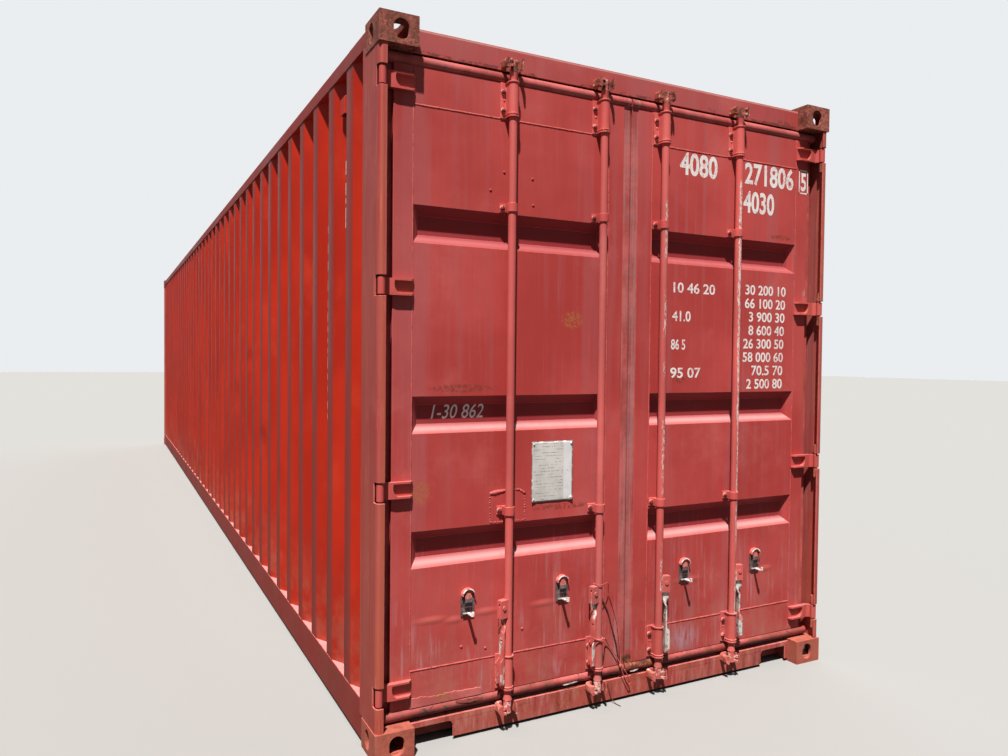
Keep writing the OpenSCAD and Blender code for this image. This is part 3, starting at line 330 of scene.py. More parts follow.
def bolt_places(side):
    """Bolts in the flanges of a leaf's brackets, as Y and Z of large and small heads."""
    large = []
    small = []
    for name, y in BARS.items():
        if name.startswith(side):
            for top in SLEEVE_TOPS:
                large += [(y - FLANGE_MIDDLE, top - 0.040), (y - FLANGE_MIDDLE, top - 0.116)]
                small.append((y - FLANGE_MIDDLE + 0.005, top - 0.072))
            strap = RAISED_STRAP_Z if name == "left_outer" else STRAP_Z[0]
            large += [(y - FLANGE_MIDDLE, strap), (y - FLANGE_MIDDLE, STRAP_Z[1])]
    return large, small


def make_bolts(looks):
    """Bolt heads of both leaves' brackets."""
    for side in ("left", "right"):
        large, small = bolt_places(side)
        bm = bmesh.new()
        for y, z in large:
            turned(bm, (FLANGE_X, y, z), BOLT_PROFILE)
        for y, z in small:
            dome(bm, (FLANGE_X, y, z), 0.0045, 0.0035)
        piece_from(bm, side + "_door_bolts", side + "_door", looks["bolt"])


def make_rivets(looks):
    """Plain rivets on the left leaf, where the photo shows them."""
    bm = bmesh.new()
    for y, z in ((-0.651, 2.360), (-0.515, 2.347), (-0.511, 2.235), (-0.714, 2.279), (-0.830, 0.383),
                 (-0.719, 0.360), (-0.543, 0.415)):
        dome(bm, (LEAF_X, y, z), 0.0058, 0.0040)
    piece_from(bm, "left_door_rivets", "left_door", looks["door"])


def make_welds(looks):
    """Welds along the rails and stiles of both leaves, and round the patch under one strap."""
    for side, sign in (("left", -1), ("right", 1)):
        bm = bmesh.new()
        for z in (LEAF_LOW + RAIL_H, LEAF_HIGH - RAIL_H):
            bead(bm, (LEAF_X, sign * PANEL_IN, z), (LEAF_X, sign * PANEL_OUT, z), 0.0030)
        for y in (PANEL_IN, PANEL_OUT):
            bead(bm, (LEAF_X, sign * y, LEAF_LOW + 0.003), (LEAF_X, sign * y, LEAF_HIGH - 0.003),
                 0.0019, 0.3)
        if side == "left":
            corners = [(-0.705, 1.012), (-0.625, 1.021), (-0.560, 1.020), (-0.537, 1.002), (-0.536, 0.888),
                       (-0.625, 0.887), (-0.702, 0.889), (-0.705, 1.012)]
            for i, ((y0, z0), (y1, z1)) in enumerate(zip(corners, corners[1:])):
                if i < 3:
                    bead(bm, (LEAF_X, y0, z0), (LEAF_X, y1, z1), 0.0042, 0.9, 0.008)
                    continue
                count = round(math.hypot(y1 - y0, z1 - z0) / 0.011)
                for k in range(count):
                    t = (k + random.uniform(0.2, 0.8)) / count
                    dome(bm, (LEAF_X - 0.0005, y0 + (y1 - y0) * t, z0 + (z1 - z0) * t),
                         random.uniform(0.0022, 0.0046), random.uniform(0.0018, 0.0036))
        piece_from(bm, side + "_door_welds", side + "_door", looks["weld"])


def make_bottom_strip(looks):
    """The leaf's lower edge strip, chipped away along its top on the left door."""
    bm = bmesh.new()
    ends = (-1.056, -0.738)
    count = 54
    rows = []
    for i in range(count + 1):
        y = ends[0] + (ends[1] - ends[0]) * i / count
        top = 0.207 - 0.010 * i / count + 0.004 * noise.noise(Vector((y * 60, 0, 0)))
        if 12 < i < 26:
            top -= 0.007 * abs(noise.noise(Vector((y * 140, 3, 0)))) + 0.003
        rows.append([bm.verts.new((x, y, z)) for x, z in (
            (LEAF_X - 0.001, LEAF_LOW), (LEAF_X + 0.0026, LEAF_LOW), (LEAF_X + 0.0026, top),
            (LEAF_X - 0.001, top + 0.002))])
    skin(bm, rows)
    piece_from(bm, "left_door_bottom_strip", "left_door", looks["strip"], smooth=False)


def make_seal_flap(looks):
    """A torn length of the bottom seal's skin that hangs down, and two peeled ribbons."""
    bm = bmesh.new()

    def ribbon(y0, y1, z0, z1, width, out, curl):
        """A strip along Y whose lower edge hangs down and curls outwards."""
        count = 26
        thick = 1.8 * MM
        rows = []
        for i in range(count + 1):
            t = i / count
            y = y0 + (y1 - y0) * t
            z = z0 + (z1 - z0) * t + 0.003 * noise.noise(Vector((y * 55, 0, 1)))
            drop = width * (0.35 + 0.65 * math.sin(math.pi * t) ** 0.6)
            x = out + curl * math.sin(math.pi * t)
            rows.append([bm.verts.new(v) for v in (
                (x, y, z), (x + thick, y, z),
                (x + thick + curl * 0.3, y, z - drop), (x + curl * 0.3, y, z - drop))])
        skin(bm, rows)

    ribbon(-0.856, -0.732, 0.166, 0.160, 0.016, 6.0395, 0.002)
    ribbon(-0.340, -0.262, 0.134, 0.138, 0.005, 6.0405, 0.001)
    ribbon(0.028, 0.074, 0.131, 0.134, 0.005, 6.0405, 0.001)
    flap = piece_from(bm, "seal_peelings", "left_door", looks["seal"], smooth=False)
    flap.data.materials.append(looks["peel"])
    for face in flap.data.polygons:
        face.material_index = 1 if face.center.y > -0.5 else 0


def text_mesh(text, weight, shear):
    """The faces of a line of text in the plain built-in letters, in their own plane."""
    curve = bpy.data.curves.new("figures", "FONT")
    curve.body = text
    curve.extrude = PAINT / 2
    curve.offset = weight
    curve.shear = shear
    curve.resolution_u = 4
    holder = add_object("figures", curve)
    bpy.context.view_layer.update()
    mesh = bpy.data.meshes.new_from_object(holder.evaluated_get(bpy.context.evaluated_depsgraph_get()))
    bpy.data.objects.remove(holder)
    return mesh


def add_figures(bm, text, y_range, z_range, x, weight, shear=0.0):
    """Plain figures fitted into a rectangle on a surface that faces the doors' outside."""
    mesh = text_mesh(text, weight, shear)
    xs = [v.co.x for v in mesh.vertices]
    ys = [v.co.y for v in mesh.vertices]
    wide = (y_range[1] - y_range[0]) / (max(xs) - min(xs))
    tall = (z_range[1] - z_range[0]) / (max(ys) - min(ys))
    for vert in mesh.vertices:
        vert.co = (x + PAINT / 2 + vert.co.z, y_range[0] + (vert.co.x - min(xs)) * wide,
                   z_range[0] + (vert.co.y - min(ys)) * tall)
    bm.from_mesh(mesh)
    bpy.data.meshes.remove(mesh)


LABELS = ("10 46 20", "41.0", "86 5", "95 07")
AMOUNTS = ("30 200 10", "66 100 20", "3 900 30", "8 600 40", "26 300 50", "58 000 60", "70.5 70",
           "2 500 80")


BIG_FIGURES = [("4080", (0.286, 0.519), (2.462, 2.571)), ("271806", (0.699, 1.036), (2.463, 2.573)),
               ("5", (1.090, 1.128), (2.470, 2.564)), ("4030", (0.692, 0.902), (2.321, 2.431))]
FRAME_SIDES = [((1.076, 2.455), (1.142, 2.462)), ((1.076, 2.572), (1.142, 2.579)),
               ((1.076, 2.455), (1.082, 2.579)), ((1.136, 2.455), (1.142, 2.579))]
LABEL_ENDS = ((0.258, 0.516), (0.253, 0.365), (0.248, 0.334), (0.246, 0.432))
LINE_TOP = 1.963
LINE_PITCH = 0.0677
LINE_TALL = 0.050


def make_figures(looks):
    """Plain white numerals, in the places where the real one has its marks."""
    bm = bmesh.new()
    for text, ys, zs in BIG_FIGURES:
        add_figures(bm, text, ys, zs, LEAF_X, 0.025)
    for low, high in FRAME_SIDES:
        slab(bm, (LEAF_X, *low), (LEAF_X + PAINT, *high))
    for row, (text, ends) in enumerate(zip(LABELS, LABEL_ENDS)):
        high = LINE_TOP - 0.012 - 2 * row * LINE_PITCH
        add_figures(bm, text, ends, (high - LINE_TALL, high), LEAF_X, 0.016)
    for row, text in enumerate(AMOUNTS):
        high = LINE_TOP - row * LINE_PITCH
        right = 0.995 - 0.0022 * row
        width = 0.031 * len(text)
        add_figures(bm, text, (right - width, right), (high - LINE_TALL, high), LEAF_X, 0.016)
    piece_from(bm, "painted_figures", "right_door", looks["white"], smooth=False)
    bm = bmesh.new()
    add_figures(bm, "1-30 862", (-0.957, -0.718), (1.330, 1.388), TROUGH_X, 0.004, 0.25)
    piece_from(bm, "chalk_figures", "left_door", looks["chalk"], smooth=False)


def make_plate(looks):
    """Thin data plate with bent corners, held by four rivets."""
    bm = bmesh.new()
    ys = (-0.505, -0.297)
    zs = (0.957, 1.221)
    columns = 24
    rows = 30
    sheets = []
    for back in (0, 1):
        grid = []
        for i in range(rows + 1):
            line = []
            for k in range(columns + 1):
                y = ys[0] + (ys[1] - ys[0]) * k / columns
                z = zs[0] + (zs[1] - zs[0]) * i / rows
                bend = 0.0010 * noise.noise(Vector((y * 14, z * 14, 2)))
                corner = max(0.0, 1 - (min(k, columns - k) + min(i, rows - i)) / 3)
                ragged = 0.0025 * noise.noise(Vector((y * 45, z * 45, 5))) if i in (0, rows) else 0.0
                x = LEAF_X + 0.0034 + bend + 0.0045 * corner * (1 if i < 3 else 0.2) - 0.0012 * back
                line.append(bm.verts.new((x, y, z + ragged)))
            grid.append(line)
        sheets.append(grid)
        for i in range(rows):
            for k in range(columns):
                bm.faces.new((grid[i][k], grid[i][k + 1], grid[i + 1][k + 1], grid[i + 1][k]))
    front, rear = sheets
    edge = ([(0, k) for k in range(columns)] + [(i, columns) for i in range(rows)]
            + [(rows, columns - k) for k in range(columns)] + [(rows - i, 0) for i in range(rows)])
    for (i, k), (j, m) in zip(edge, edge[1:] + edge[:1]):
        bm.faces.new((front[i][k], front[j][m], rear[j][m], rear[i][k]))
    piece_from(bm, "data_plate", "left_door", looks["plate"])
    bm = bmesh.new()
    for y in (ys[0] + 0.010, ys[1] - 0.010):
        for z in (zs[0] + 0.012, zs[1] - 0.012):
            dome(bm, (LEAF_X + 0.002, y, z), 0.0050, 0.0060)
    piece_from(bm, "data_plate_rivets", "left_door", looks["plate"])


LONG_DASH_X = 5.499
SHORT_DASH_X = 5.1925
DASHES_TOP = 2.213
DASHES_FOOT = 1.29


def make_dashes(looks):
    """White paint marks down two of the left wall's recesses, beside the doors."""
    bm = bmesh.new()
    places = [(LONG_DASH_X, low, high, wide) for low, high, wide in (
        (2.398, 2.460, 0.007), (2.305, 2.361, 0.007), (2.268, 2.293, 0.006), (2.160, 2.250, 0.006))]
    z = DASHES_TOP
    while z > DASHES_FOOT:
        tall = random.uniform(0.02, 0.06)
        places.append((SHORT_DASH_X + random.uniform(-0.0005, 0.0005), z - tall, z, 0.004))
        z -= tall + random.uniform(0.02, 0.05)
    for x, low, high, wide in places:
        slab(bm, (x - wide / 2, WALL_RECESS_Y - PAINT, low), (x + wide / 2, WALL_RECESS_Y + PAINT, high))
    piece_from(bm, "wall_paint_marks", "container", looks["white"], smooth=False)


# Materials

def srgb(r, g, b):
    return tuple((c / 12.92 if c <= 0.04045 else ((c + 0.055) / 1.055) ** 2.4)
                 for c in (r / 255, g / 255, b / 255)) + (1.0,)


class Look:
    """A material whose colour, roughness and bump are built up layer by layer."""

    def __init__(self, name):
        self.material = bpy.data.materials.new(name)
        self.material.use_nodes = True
        self.tree = self.material.node_tree
        self.tree.nodes.clear()
        self.out = self.tree.nodes.new("ShaderNodeOutputMaterial")
        self.shader = self.tree.nodes.new("ShaderNodeBsdfPrincipled")
        self.tree.links.new(self.shader.outputs[0], self.out.inputs["Surface"])
        self.place = self.tree.nodes.new("ShaderNodeTexCoord").outputs["Object"]
        split = self.tree.nodes.new("ShaderNodeSeparateXYZ")
        self.tree.links.new(self.place, split.inputs[0])
        self.x, self.y, self.z = split.outputs
        self.bump_out = None

    def normal(self):
        """The surface's direction, as X, Y and Z."""
        split = self.tree.nodes.new("ShaderNodeSeparateXYZ")
        self.tree.links.new(self.tree.nodes.new("ShaderNodeTexCoord").outputs["Normal"], split.inputs[0])
        return split.outputs

    def band(self, what, low, high, soft):
        """1 between two values, falling to 0 over a soft edge outside them."""
        return self.both(self.span(what, low - soft, low), self.span(what, high + soft, high))

    def put(self, socket, what):
        if hasattr(what, "is_output"):
            self.tree.links.new(what, socket)
        else:
            socket.default_value = what

    def stretched(self, scale, move=(0, 0, 0)):
        node = self.tree.nodes.new("ShaderNodeMapping")
        node.inputs["Scale"].default_value = scale
        node.inputs["Location"].default_value = move
        self.tree.links.new(self.place, node.inputs["Vector"])
        return node.outputs[0]

    def cloud(self, scale, detail=4.0, rough=0.55, place=None, distort=0.0):
        node = self.tree.nodes.new("ShaderNodeTexNoise")
        self.tree.links.new(place or self.place, node.inputs["Vector"])
        node.inputs["Scale"].default_value = scale
        node.inputs["Detail"].default_value = detail
        node.inputs["Roughness"].default_value = rough
        node.inputs["Distortion"].default_value = distort
        return node.outputs["Fac"]

    def cells(self, scale, place=None):
        node = self.tree.nodes.new("ShaderNodeTexVoronoi")
        self.tree.links.new(place or self.place, node.inputs["Vector"])
        node.inputs["Scale"].default_value = scale
        return node.outputs["Distance"]

    def span(self, what, low, high, to_low=0.0, to_high=1.0):
        node = self.tree.nodes.new("ShaderNodeMapRange")
        node.interpolation_type = "SMOOTHSTEP"
        self.put(node.inputs["Value"], what)
        for name, value in (("From Min", low), ("From Max", high), ("To Min", to_low), ("To Max", to_high)):
            self.put(node.inputs[name], value)
        return node.outputs["Result"]

    def math(self, kind, a, b=0.0):
        node = self.tree.nodes.new("ShaderNodeMath")
        node.operation = kind
        self.put(node.inputs[0], a)
        self.put(node.inputs[1], b)
        return node.outputs[0]

    def both(self, *what):
        total = what[0]
        for other in what[1:]:
            total = self.math("MULTIPLY", total, other)
        return total

    def either(self, *what):
        total = what[0]
        for other in what[1:]:
            total = self.math("MAXIMUM", total, other)
        return total

    def mix(self, share, a, b):
        node = self.tree.nodes.new("ShaderNodeMix")
        node.data_type = "RGBA"
        self.put(node.inputs["Factor"], share)
        self.put(node.inputs["A"], a)
        self.put(node.inputs["B"], b)
        return node.outputs["Result"]

    def blob(self, centre, size):
        """1 at a point and 0 beyond its size, a radius along each axis."""
        node = self.tree.nodes.new("ShaderNodeVectorMath")
        node.operation = "SUBTRACT"
        self.put(node.inputs[0], self.place)
        node.inputs[1].default_value = centre
        scale = self.tree.nodes.new("ShaderNodeVectorMath")
        scale.operation = "DIVIDE"
        self.tree.links.new(node.outputs[0], scale.inputs[0])
        scale.inputs[1].default_value = size
        far = self.tree.nodes.new("ShaderNodeVectorMath")
        far.operation = "LENGTH"
        self.tree.links.new(scale.outputs[0], far.inputs[0])
        return self.span(far.outputs["Value"], 1.0, 0.0)

    def bump(self, height, depth):
        """Relief of this depth in metres at height 1."""
        node = self.tree.nodes.new("ShaderNodeBump")
        node.inputs["Strength"].default_value = 1.0
        node.inputs["Distance"].default_value = depth
        self.put(node.inputs["Height"], height)
        if self.bump_out is not None:
            self.tree.links.new(self.bump_out, node.inputs["Normal"])
        self.bump_out = node.outputs[0]

    def finish(self, colour, roughness, metallic=0.0, specular=0.4):
        self.put(self.shader.inputs["Base Color"], colour)
        self.put(self.shader.inputs["Roughness"], roughness)
        self.put(self.shader.inputs["Metallic"], metallic)
        self.shader.inputs["Specular IOR Level"].default_value = specular
        if self.bump_out is not None:
            self.tree.links.new(self.bump_out, self.shader.inputs["Normal"])
        return self.material


RED = srgb(188, 73, 69)
RED_DEEP = srgb(170, 58, 54)
RED_PALE = srgb(196, 96, 92)
RED_GREY = srgb(166, 92, 94)
SALMON = srgb(214, 96, 90)
ORANGE_RED = srgb(206, 42, 9)
WALL_DEEP = srgb(184, 35, 9)
PAINTED_SKY_REFLECTION = srgb(136, 58, 52)
RUST = srgb(128, 66, 38)
RUST_BRIGHT = srgb(176, 98, 52)
RUST_DARK = srgb(64, 34, 27)
DUST = srgb(178, 140, 118)
OCHRE = srgb(168, 98, 60)
RUST_SPOT = srgb(128, 58, 44)
CHALK = srgb(222, 216, 208)
# Pale colour of chalked paint and painted highlight on up-facing faces
CHALK_AND_HIGHLIGHT = srgb(200, 142, 140)
LINING = srgb(178, 176, 166)
# Colour of painted shade in the troughs and under faces that turn downwards
PAINTED_SHADE = srgb(142, 44, 50)
CREASES = [(-0.965, 0.512, 0.10), (-0.865, 0.500, 0.06), (-0.715, 0.515, 0.085), (-0.440, 0.512, 0.09),
           (0.370, 0.516, 0.11), (0.880, 0.512, 0.07)]


def painted(name, main, deep, pale, grey, streaks=0.5, rusty=0.25, dusty=0.5, waves=0.0, extra=None,
            roughness=(0.48, 0.72)):
    """Weathered paint on steel: cloudy fading, run streaks, rust spots, dust near the ground."""
    look = Look(name)
    broad = look.cloud(1.1, 5, 0.6)
    colour = look.mix(look.span(broad, 0.38, 0.66), deep, main)
    colour = look.mix(look.both(look.span(look.cloud(2.6, 6, 0.65), 0.52, 0.74), 0.6), colour, pale)
    runs = look.cloud(1.0, 5, 0.62, look.stretched((26, 26, 0.55)))
    bands = look.cloud(1.0, 3, 0.55, look.stretched((9, 9, 0.35), (7, 2, 0)))
    colour = look.mix(look.both(look.span(bands, 0.50, 0.66), 0.55 * streaks), colour, grey)
    colour = look.mix(look.both(look.span(bands, 0.46, 0.32), 0.40 * streaks), colour, deep)
    fine_runs = look.cloud(1.0, 4, 0.6, look.stretched((95, 95, 2.2), (3, 1, 0)))
    streak = look.both(look.span(runs, 0.50, 0.72), look.span(look.cloud(0.9, 3), 0.34, 0.62))
    colour = look.mix(look.both(streak, streaks), colour, grey)
    colour = look.mix(look.both(look.span(fine_runs, 0.55, 0.78), 0.30 * streaks + 0.06), colour, pale)
    colour = look.mix(look.both(look.span(fine_runs, 0.45, 0.22), 0.35), colour, deep)
    speck = look.cloud(160, 3, 0.6)
    colour = look.mix(look.both(look.span(speck, 0.60, 0.74), 0.28), colour, pale)
    colour = look.mix(look.both(look.span(speck, 0.36, 0.26), 0.30), colour, deep)
    patch = look.cloud(5.5, 8, 0.72)
    grain = look.cloud(46, 5, 0.7)
    edge = 0.735 - 0.09 * rusty
    spots = look.span(look.math("ADD", look.both(patch, 0.72), look.both(grain, 0.28)), edge - 0.03, edge)
    chips = look.span(look.cells(34, look.stretched((1, 1, 0.8), (2, 5, 1))), 0.11, 0.05)
    chips = look.both(chips, look.span(look.cloud(3.3, 4), 0.66 - 0.12 * rusty, 0.72 - 0.12 * rusty))
    rust = look.either(spots, chips)
    rust_colour = look.mix(look.span(look.cloud(60, 4), 0.35, 0.65), RUST_DARK, RUST_BRIGHT)
    halo = look.span(look.math("ADD", look.both(patch, 0.72), look.both(grain, 0.28)), edge - 0.09, edge)
    colour = look.mix(look.both(halo, 0.45), colour, RUST)
    dust = look.both(look.span(look.z, 0.75, 0.05), look.span(look.cloud(7, 6, 0.7), 0.35, 0.72), dusty)
    colour = look.mix(dust, colour, DUST)
    # Chalky fading and painted highlight: up-facing faces turn pale, most near the leaves' outer face and low
    # down
    up = look.both(look.span(look.normal()[2], 0.45, 0.75),
                   look.span(look.cloud(12, 5, 0.6), 0.2, 0.5, 0.75, 1.0))
    chalk_and_highlight_reach = look.span(look.x, LEAF_X - 0.002, TROUGH_X + 0.020, 0.30, 1.0)
    colour = look.mix(look.both(up, look.span(look.z, 1.25, 1.75, 0.92, 0.45), chalk_and_highlight_reach), colour, CHALK_AND_HIGHLIGHT)
    rough = look.span(broad, 0.3, 0.7, roughness[0], roughness[1])
    if extra:
        colour, rust = extra(look, colour, rust)
    colour = look.mix(rust, colour, rust_colour)
    rough = look.mix(rust, rough, (0.92, 0.92, 0.92, 1))
    if waves:
        look.bump(look.cloud(3.2, 2, 0.4), waves)
    look.bump(look.cloud(240, 3, 0.6), 0.00012)
    look.bump(look.either(rust, look.both(halo, 0.4)), -0.0006)
    return look.finish(colour, rough, specular=0.3)


def lining(look, inward, colour, rust):
    """Grey paint on the faces that look into the container, with less rust and scuffs."""
    above = look.span(look.z, 0.168, 0.170)
    inside = look.both(look.span(inward, 0.04, 0.08), above)
    scuffs = look.both(look.span(look.cloud(1.0, 5, 0.7, look.stretched((3, 3, 24))), 0.56, 0.66),
                       look.span(look.z, 1.6, 0.7))
    inner = look.mix(look.both(scuffs, 0.5), LINING, srgb(116, 108, 100))
    inner = look.mix(look.both(look.span(look.cloud(3, 5), 0.5, 0.7), 0.4), inner, srgb(160, 146, 130))
    return look.mix(inside, colour, inner), look.both(rust, look.span(inside, 0, 1, 1.0, 0.5))


def door_marks(look, colour, rust):
    """Rust patches that the photo shows on the left leaf, creases by the catches, grey inner faces."""
    colour, rust = lining(look, look.math("MULTIPLY", look.normal()[0], -1.0), colour, rust)
    creases = None
    for y, z, length in CREASES:
        crease = look.blob((LEAF_X, y, z), (0.06, length, 0.022))
        creases = crease if creases is None else look.either(creases, crease)
    look.bump(creases, 0.0022)
    # Painted highlight along the raised creases, laid over their real relief
    colour = look.mix(look.both(creases, 0.40), colour, srgb(218, 112, 100))
    # Painted shade on the webs of the troughs
    web_shade = look.both(look.span(look.x, TROUGH_X + 0.022, TROUGH_X - 0.002),
                    look.span(look.normal()[0], 0.3, 0.6), look.span(look.y, 1.05, 1.04))
    colour = look.mix(look.both(web_shade, 0.80), colour, PAINTED_SHADE)
    # Painted shade on faces that turn downwards
    under = look.span(look.normal()[2], -0.40, -0.55)
    colour = look.mix(look.both(under, 0.80), colour, PAINTED_SHADE)
    # Painted shade on the up-facing slopes of the upper troughs
    upper_slope_shade = look.both(look.span(look.normal()[2], 0.40, 0.55), look.span(look.z, 2.0, 2.05))
    colour = look.mix(look.both(upper_slope_shade, 0.45), colour, PAINTED_SHADE)
    middle = look.both(look.blob((LEAF_X, -0.055, 0.30), (0.06, 0.075, 0.20)),
                       look.span(look.cloud(1.0, 6, 0.7, look.stretched((40, 40, 3), (1, 4, 4))), 0.42, 0.58))
    colour = look.mix(look.both(middle, 0.65), colour, srgb(172, 128, 134))
    weathered = look.both(look.span(look.z, 0.95, 0.30), look.span(look.z, 0.16, 0.20))
    drip = look.cloud(1.0, 6, 0.68, look.stretched((42, 42, 2.6), (5, 5, 5)))
    drips = look.both(weathered, look.span(drip, 0.50, 0.66), look.span(look.cloud(4.2, 4, 0.6), 0.36, 0.62))
    colour = look.mix(look.both(drips, 0.70), colour, srgb(190, 132, 136))
    faded = look.blob((LEAF_X, 0.355, 0.235), (0.05, 0.12, 0.085))
    faded = look.both(faded, look.span(look.cloud(1.0, 6, 0.7, look.stretched((34, 34, 9))), 0.40, 0.52))
    colour = look.mix(look.both(faded, 0.75), colour, srgb(176, 140, 148))
    pale = look.blob((LEAF_X, 1.135, 1.93), (0.06, 0.030, 0.050))
    colour = look.mix(look.both(pale, look.span(look.cloud(30, 5, 0.7), 0.35, 0.55), 0.7), colour,
                      srgb(190, 148, 150))
    ochre = look.both(look.blob((LEAF_X, 1.135, 1.45), (0.06, 0.045, 0.40)),
                      look.span(look.cloud(1.0, 6, 0.7, look.stretched((70, 70, 2), (8, 8, 8))), 0.44, 0.56))
    low_ochre = look.both(look.blob((LEAF_X, 1.135, 0.55), (0.06, 0.045, 0.45)),
                          look.span(look.cloud(1.0, 6, 0.7, look.stretched((60, 60, 2), (2, 8, 8))), 0.44, 0.56))
    colour = look.mix(look.both(look.either(ochre, low_ochre), 0.6), colour, srgb(168, 92, 58))
    for y, z, size, tall in ((-0.307, 1.753, 0.080, 0.055), (-1.013, 1.040, 0.055, 0.075),
                             (-0.830, 1.455, 0.22, 0.025), (0.30, 1.485, 0.06, 0.025),
                             (0.95, 2.215, 0.12, 0.020), (-0.35, 0.93, 0.22, 0.02)):
        patch = look.span(look.blob((LEAF_X, y, z), (0.06, size, tall)), 0.05, 0.50)
        speck = look.span(look.cloud(70, 6, 0.75), 0.48, 0.52)
        colour = look.mix(look.both(patch, speck, 0.80), colour, RUST_SPOT if tall < 0.05 else OCHRE)
    return colour, rust


def bar_marks(look, colour, rust):
    """White paint down the two right bars, and cams that have lost most of their paint."""
    fleck = look.cloud(1.0, 7, 0.8, look.stretched((170, 170, 42)))
    wander = look.both(look.math("SUBTRACT", look.cloud(1.0, 3, 0.6, look.stretched((1, 1, 9))), 0.5), 0.016)
    place = look.math("ADD", look.y, wander)
    drift = look.math("SUBTRACT", place, look.span(look.z, 0.9, 2.2, 0.0065, -0.0030))
    outer = look.both(look.band(drift, 0.6235, 0.6345, 0.003), look.span(fleck, 0.47, 0.52),
                      look.span(look.cloud(1.0, 3, 0.5, look.stretched((1, 1, 2.2))), 0.36, 0.44))
    inner = look.both(look.band(place, 0.1655, 0.1765, 0.003), look.span(fleck, 0.50, 0.55),
                      look.span(look.cloud(1.0, 3, 0.5, look.stretched((1, 1, 3.1))), 0.46, 0.54))
    mask = look.both(look.either(outer, inner), look.band(look.z, 0.32, 2.44, 0.03))
    colour = look.mix(look.both(mask, 0.92), colour, CHALK)
    top = look.span(look.z, 2.758, 2.768)
    foot = look.span(look.z, 0.142, 0.132)
    lump = look.cloud(44, 5, 0.6)
    bare = look.mix(look.span(lump, 0.40, 0.58), srgb(92, 44, 40), srgb(176, 92, 80))
    bare = look.mix(look.span(lump, 0.60, 0.66), bare, srgb(226, 196, 184))
    colour = look.mix(top, colour, bare)
    chips = look.both(foot, look.span(lump, 0.50, 0.56))
    colour = look.mix(look.both(chips, 0.85), colour, srgb(230, 190, 180))
    look.bump(look.both(look.either(top, foot), lump), 0.0030)
    return colour, rust


def post_marks(look, colour, rust):
    """Orange and brown runs down the posts."""
    runs = look.cloud(1.0, 5, 0.65, look.stretched((60, 60, 0.6)))
    colour = look.mix(look.both(look.span(runs, 0.50, 0.62), 0.65), colour, srgb(176, 92, 68))
    colour = look.mix(look.both(look.span(runs, 0.44, 0.34), 0.55), colour, srgb(124, 72, 70))
    pale = look.cloud(1.0, 6, 0.7, look.stretched((80, 80, 4), (2, 8, 2)))
    colour = look.mix(look.both(look.span(pale, 0.56, 0.66), 0.45), colour, srgb(216, 118, 96))
    stain = look.cloud(1.0, 6, 0.7, look.stretched((24, 24, 6)))
    foot = look.both(look.span(look.z, 0.75, 0.30), look.span(stain, 0.46, 0.58))
    return look.mix(look.both(foot, 0.40), colour, srgb(172, 82, 60)), rust


def frame_marks(look, colour, rust):
    """Chipped and rusted lower edge of the header, worn sill."""
    jag = look.both(look.cloud(46, 6, 0.75), 0.030)
    low = look.span(look.math("SUBTRACT", look.z, jag), HEADER_LOW - 0.001, HEADER_LOW - 0.005)
    low = look.both(low, look.span(look.z, 2.5, 2.51), look.span(look.cloud(7, 5, 0.7), 0.47, 0.55))
    top = look.span(look.math("ADD", look.z, look.both(jag, 0.15)), HEADER_HIGH - 0.006, HEADER_HIGH - 0.003)
    colour = look.mix(look.both(top, 0.75), colour, srgb(214, 150, 140))
    sill = look.both(look.span(look.z, 0.16, 0.13), look.span(look.cloud(4.5, 8, 0.75), 0.50, 0.60))
    tint = look.both(look.span(look.z, 0.2, 0.1), look.span(look.cloud(6, 6), 0.42, 0.7), 0.55)
    colour = look.mix(tint, colour, srgb(168, 92, 70))
    foot = look.both(look.span(look.z, 0.16, 0.12), 0.5)
    colour = look.mix(look.both(foot, look.span(look.cloud(3, 4), 0.35, 0.6)), colour, srgb(178, 78, 66))
    run = look.cloud(1.0, 6, 0.7, look.stretched((30, 30, 5), (3, 3, 3)))
    runs = look.both(look.span(look.z, 0.16, 0.12), look.span(run, 0.50, 0.62))
    colour = look.mix(look.both(runs, 0.55), colour, srgb(190, 124, 112))
    colour = look.mix(look.both(look.span(look.z, 0.16, 0.12), look.span(run, 0.47, 0.38), 0.60), colour,
                      srgb(120, 58, 46))
    corner = look.either(look.blob((END_X, -0.875, 0.03), (0.05, 0.05, 0.06)),
                         look.blob((END_X, 0.875, 0.03), (0.05, 0.04, 0.05)))
    corner = look.both(corner, look.span(look.cloud(40, 6, 0.75), 0.44, 0.54))
    spots = look.either(look.blob((END_X, 0.48, HEADER_LOW + 0.012), (0.06, 0.060, 0.018)),
                        look.blob((END_X, 0.96, HEADER_LOW + 0.020), (0.06, 0.110, 0.028)))
    spots = look.both(spots, look.span(look.cloud(75, 5, 0.75), 0.50, 0.55))
    colour = look.mix(look.both(look.either(spots, low), 0.80), colour, srgb(104, 50, 42))
    return colour, look.either(rust, look.both(sill, 0.25), corner)


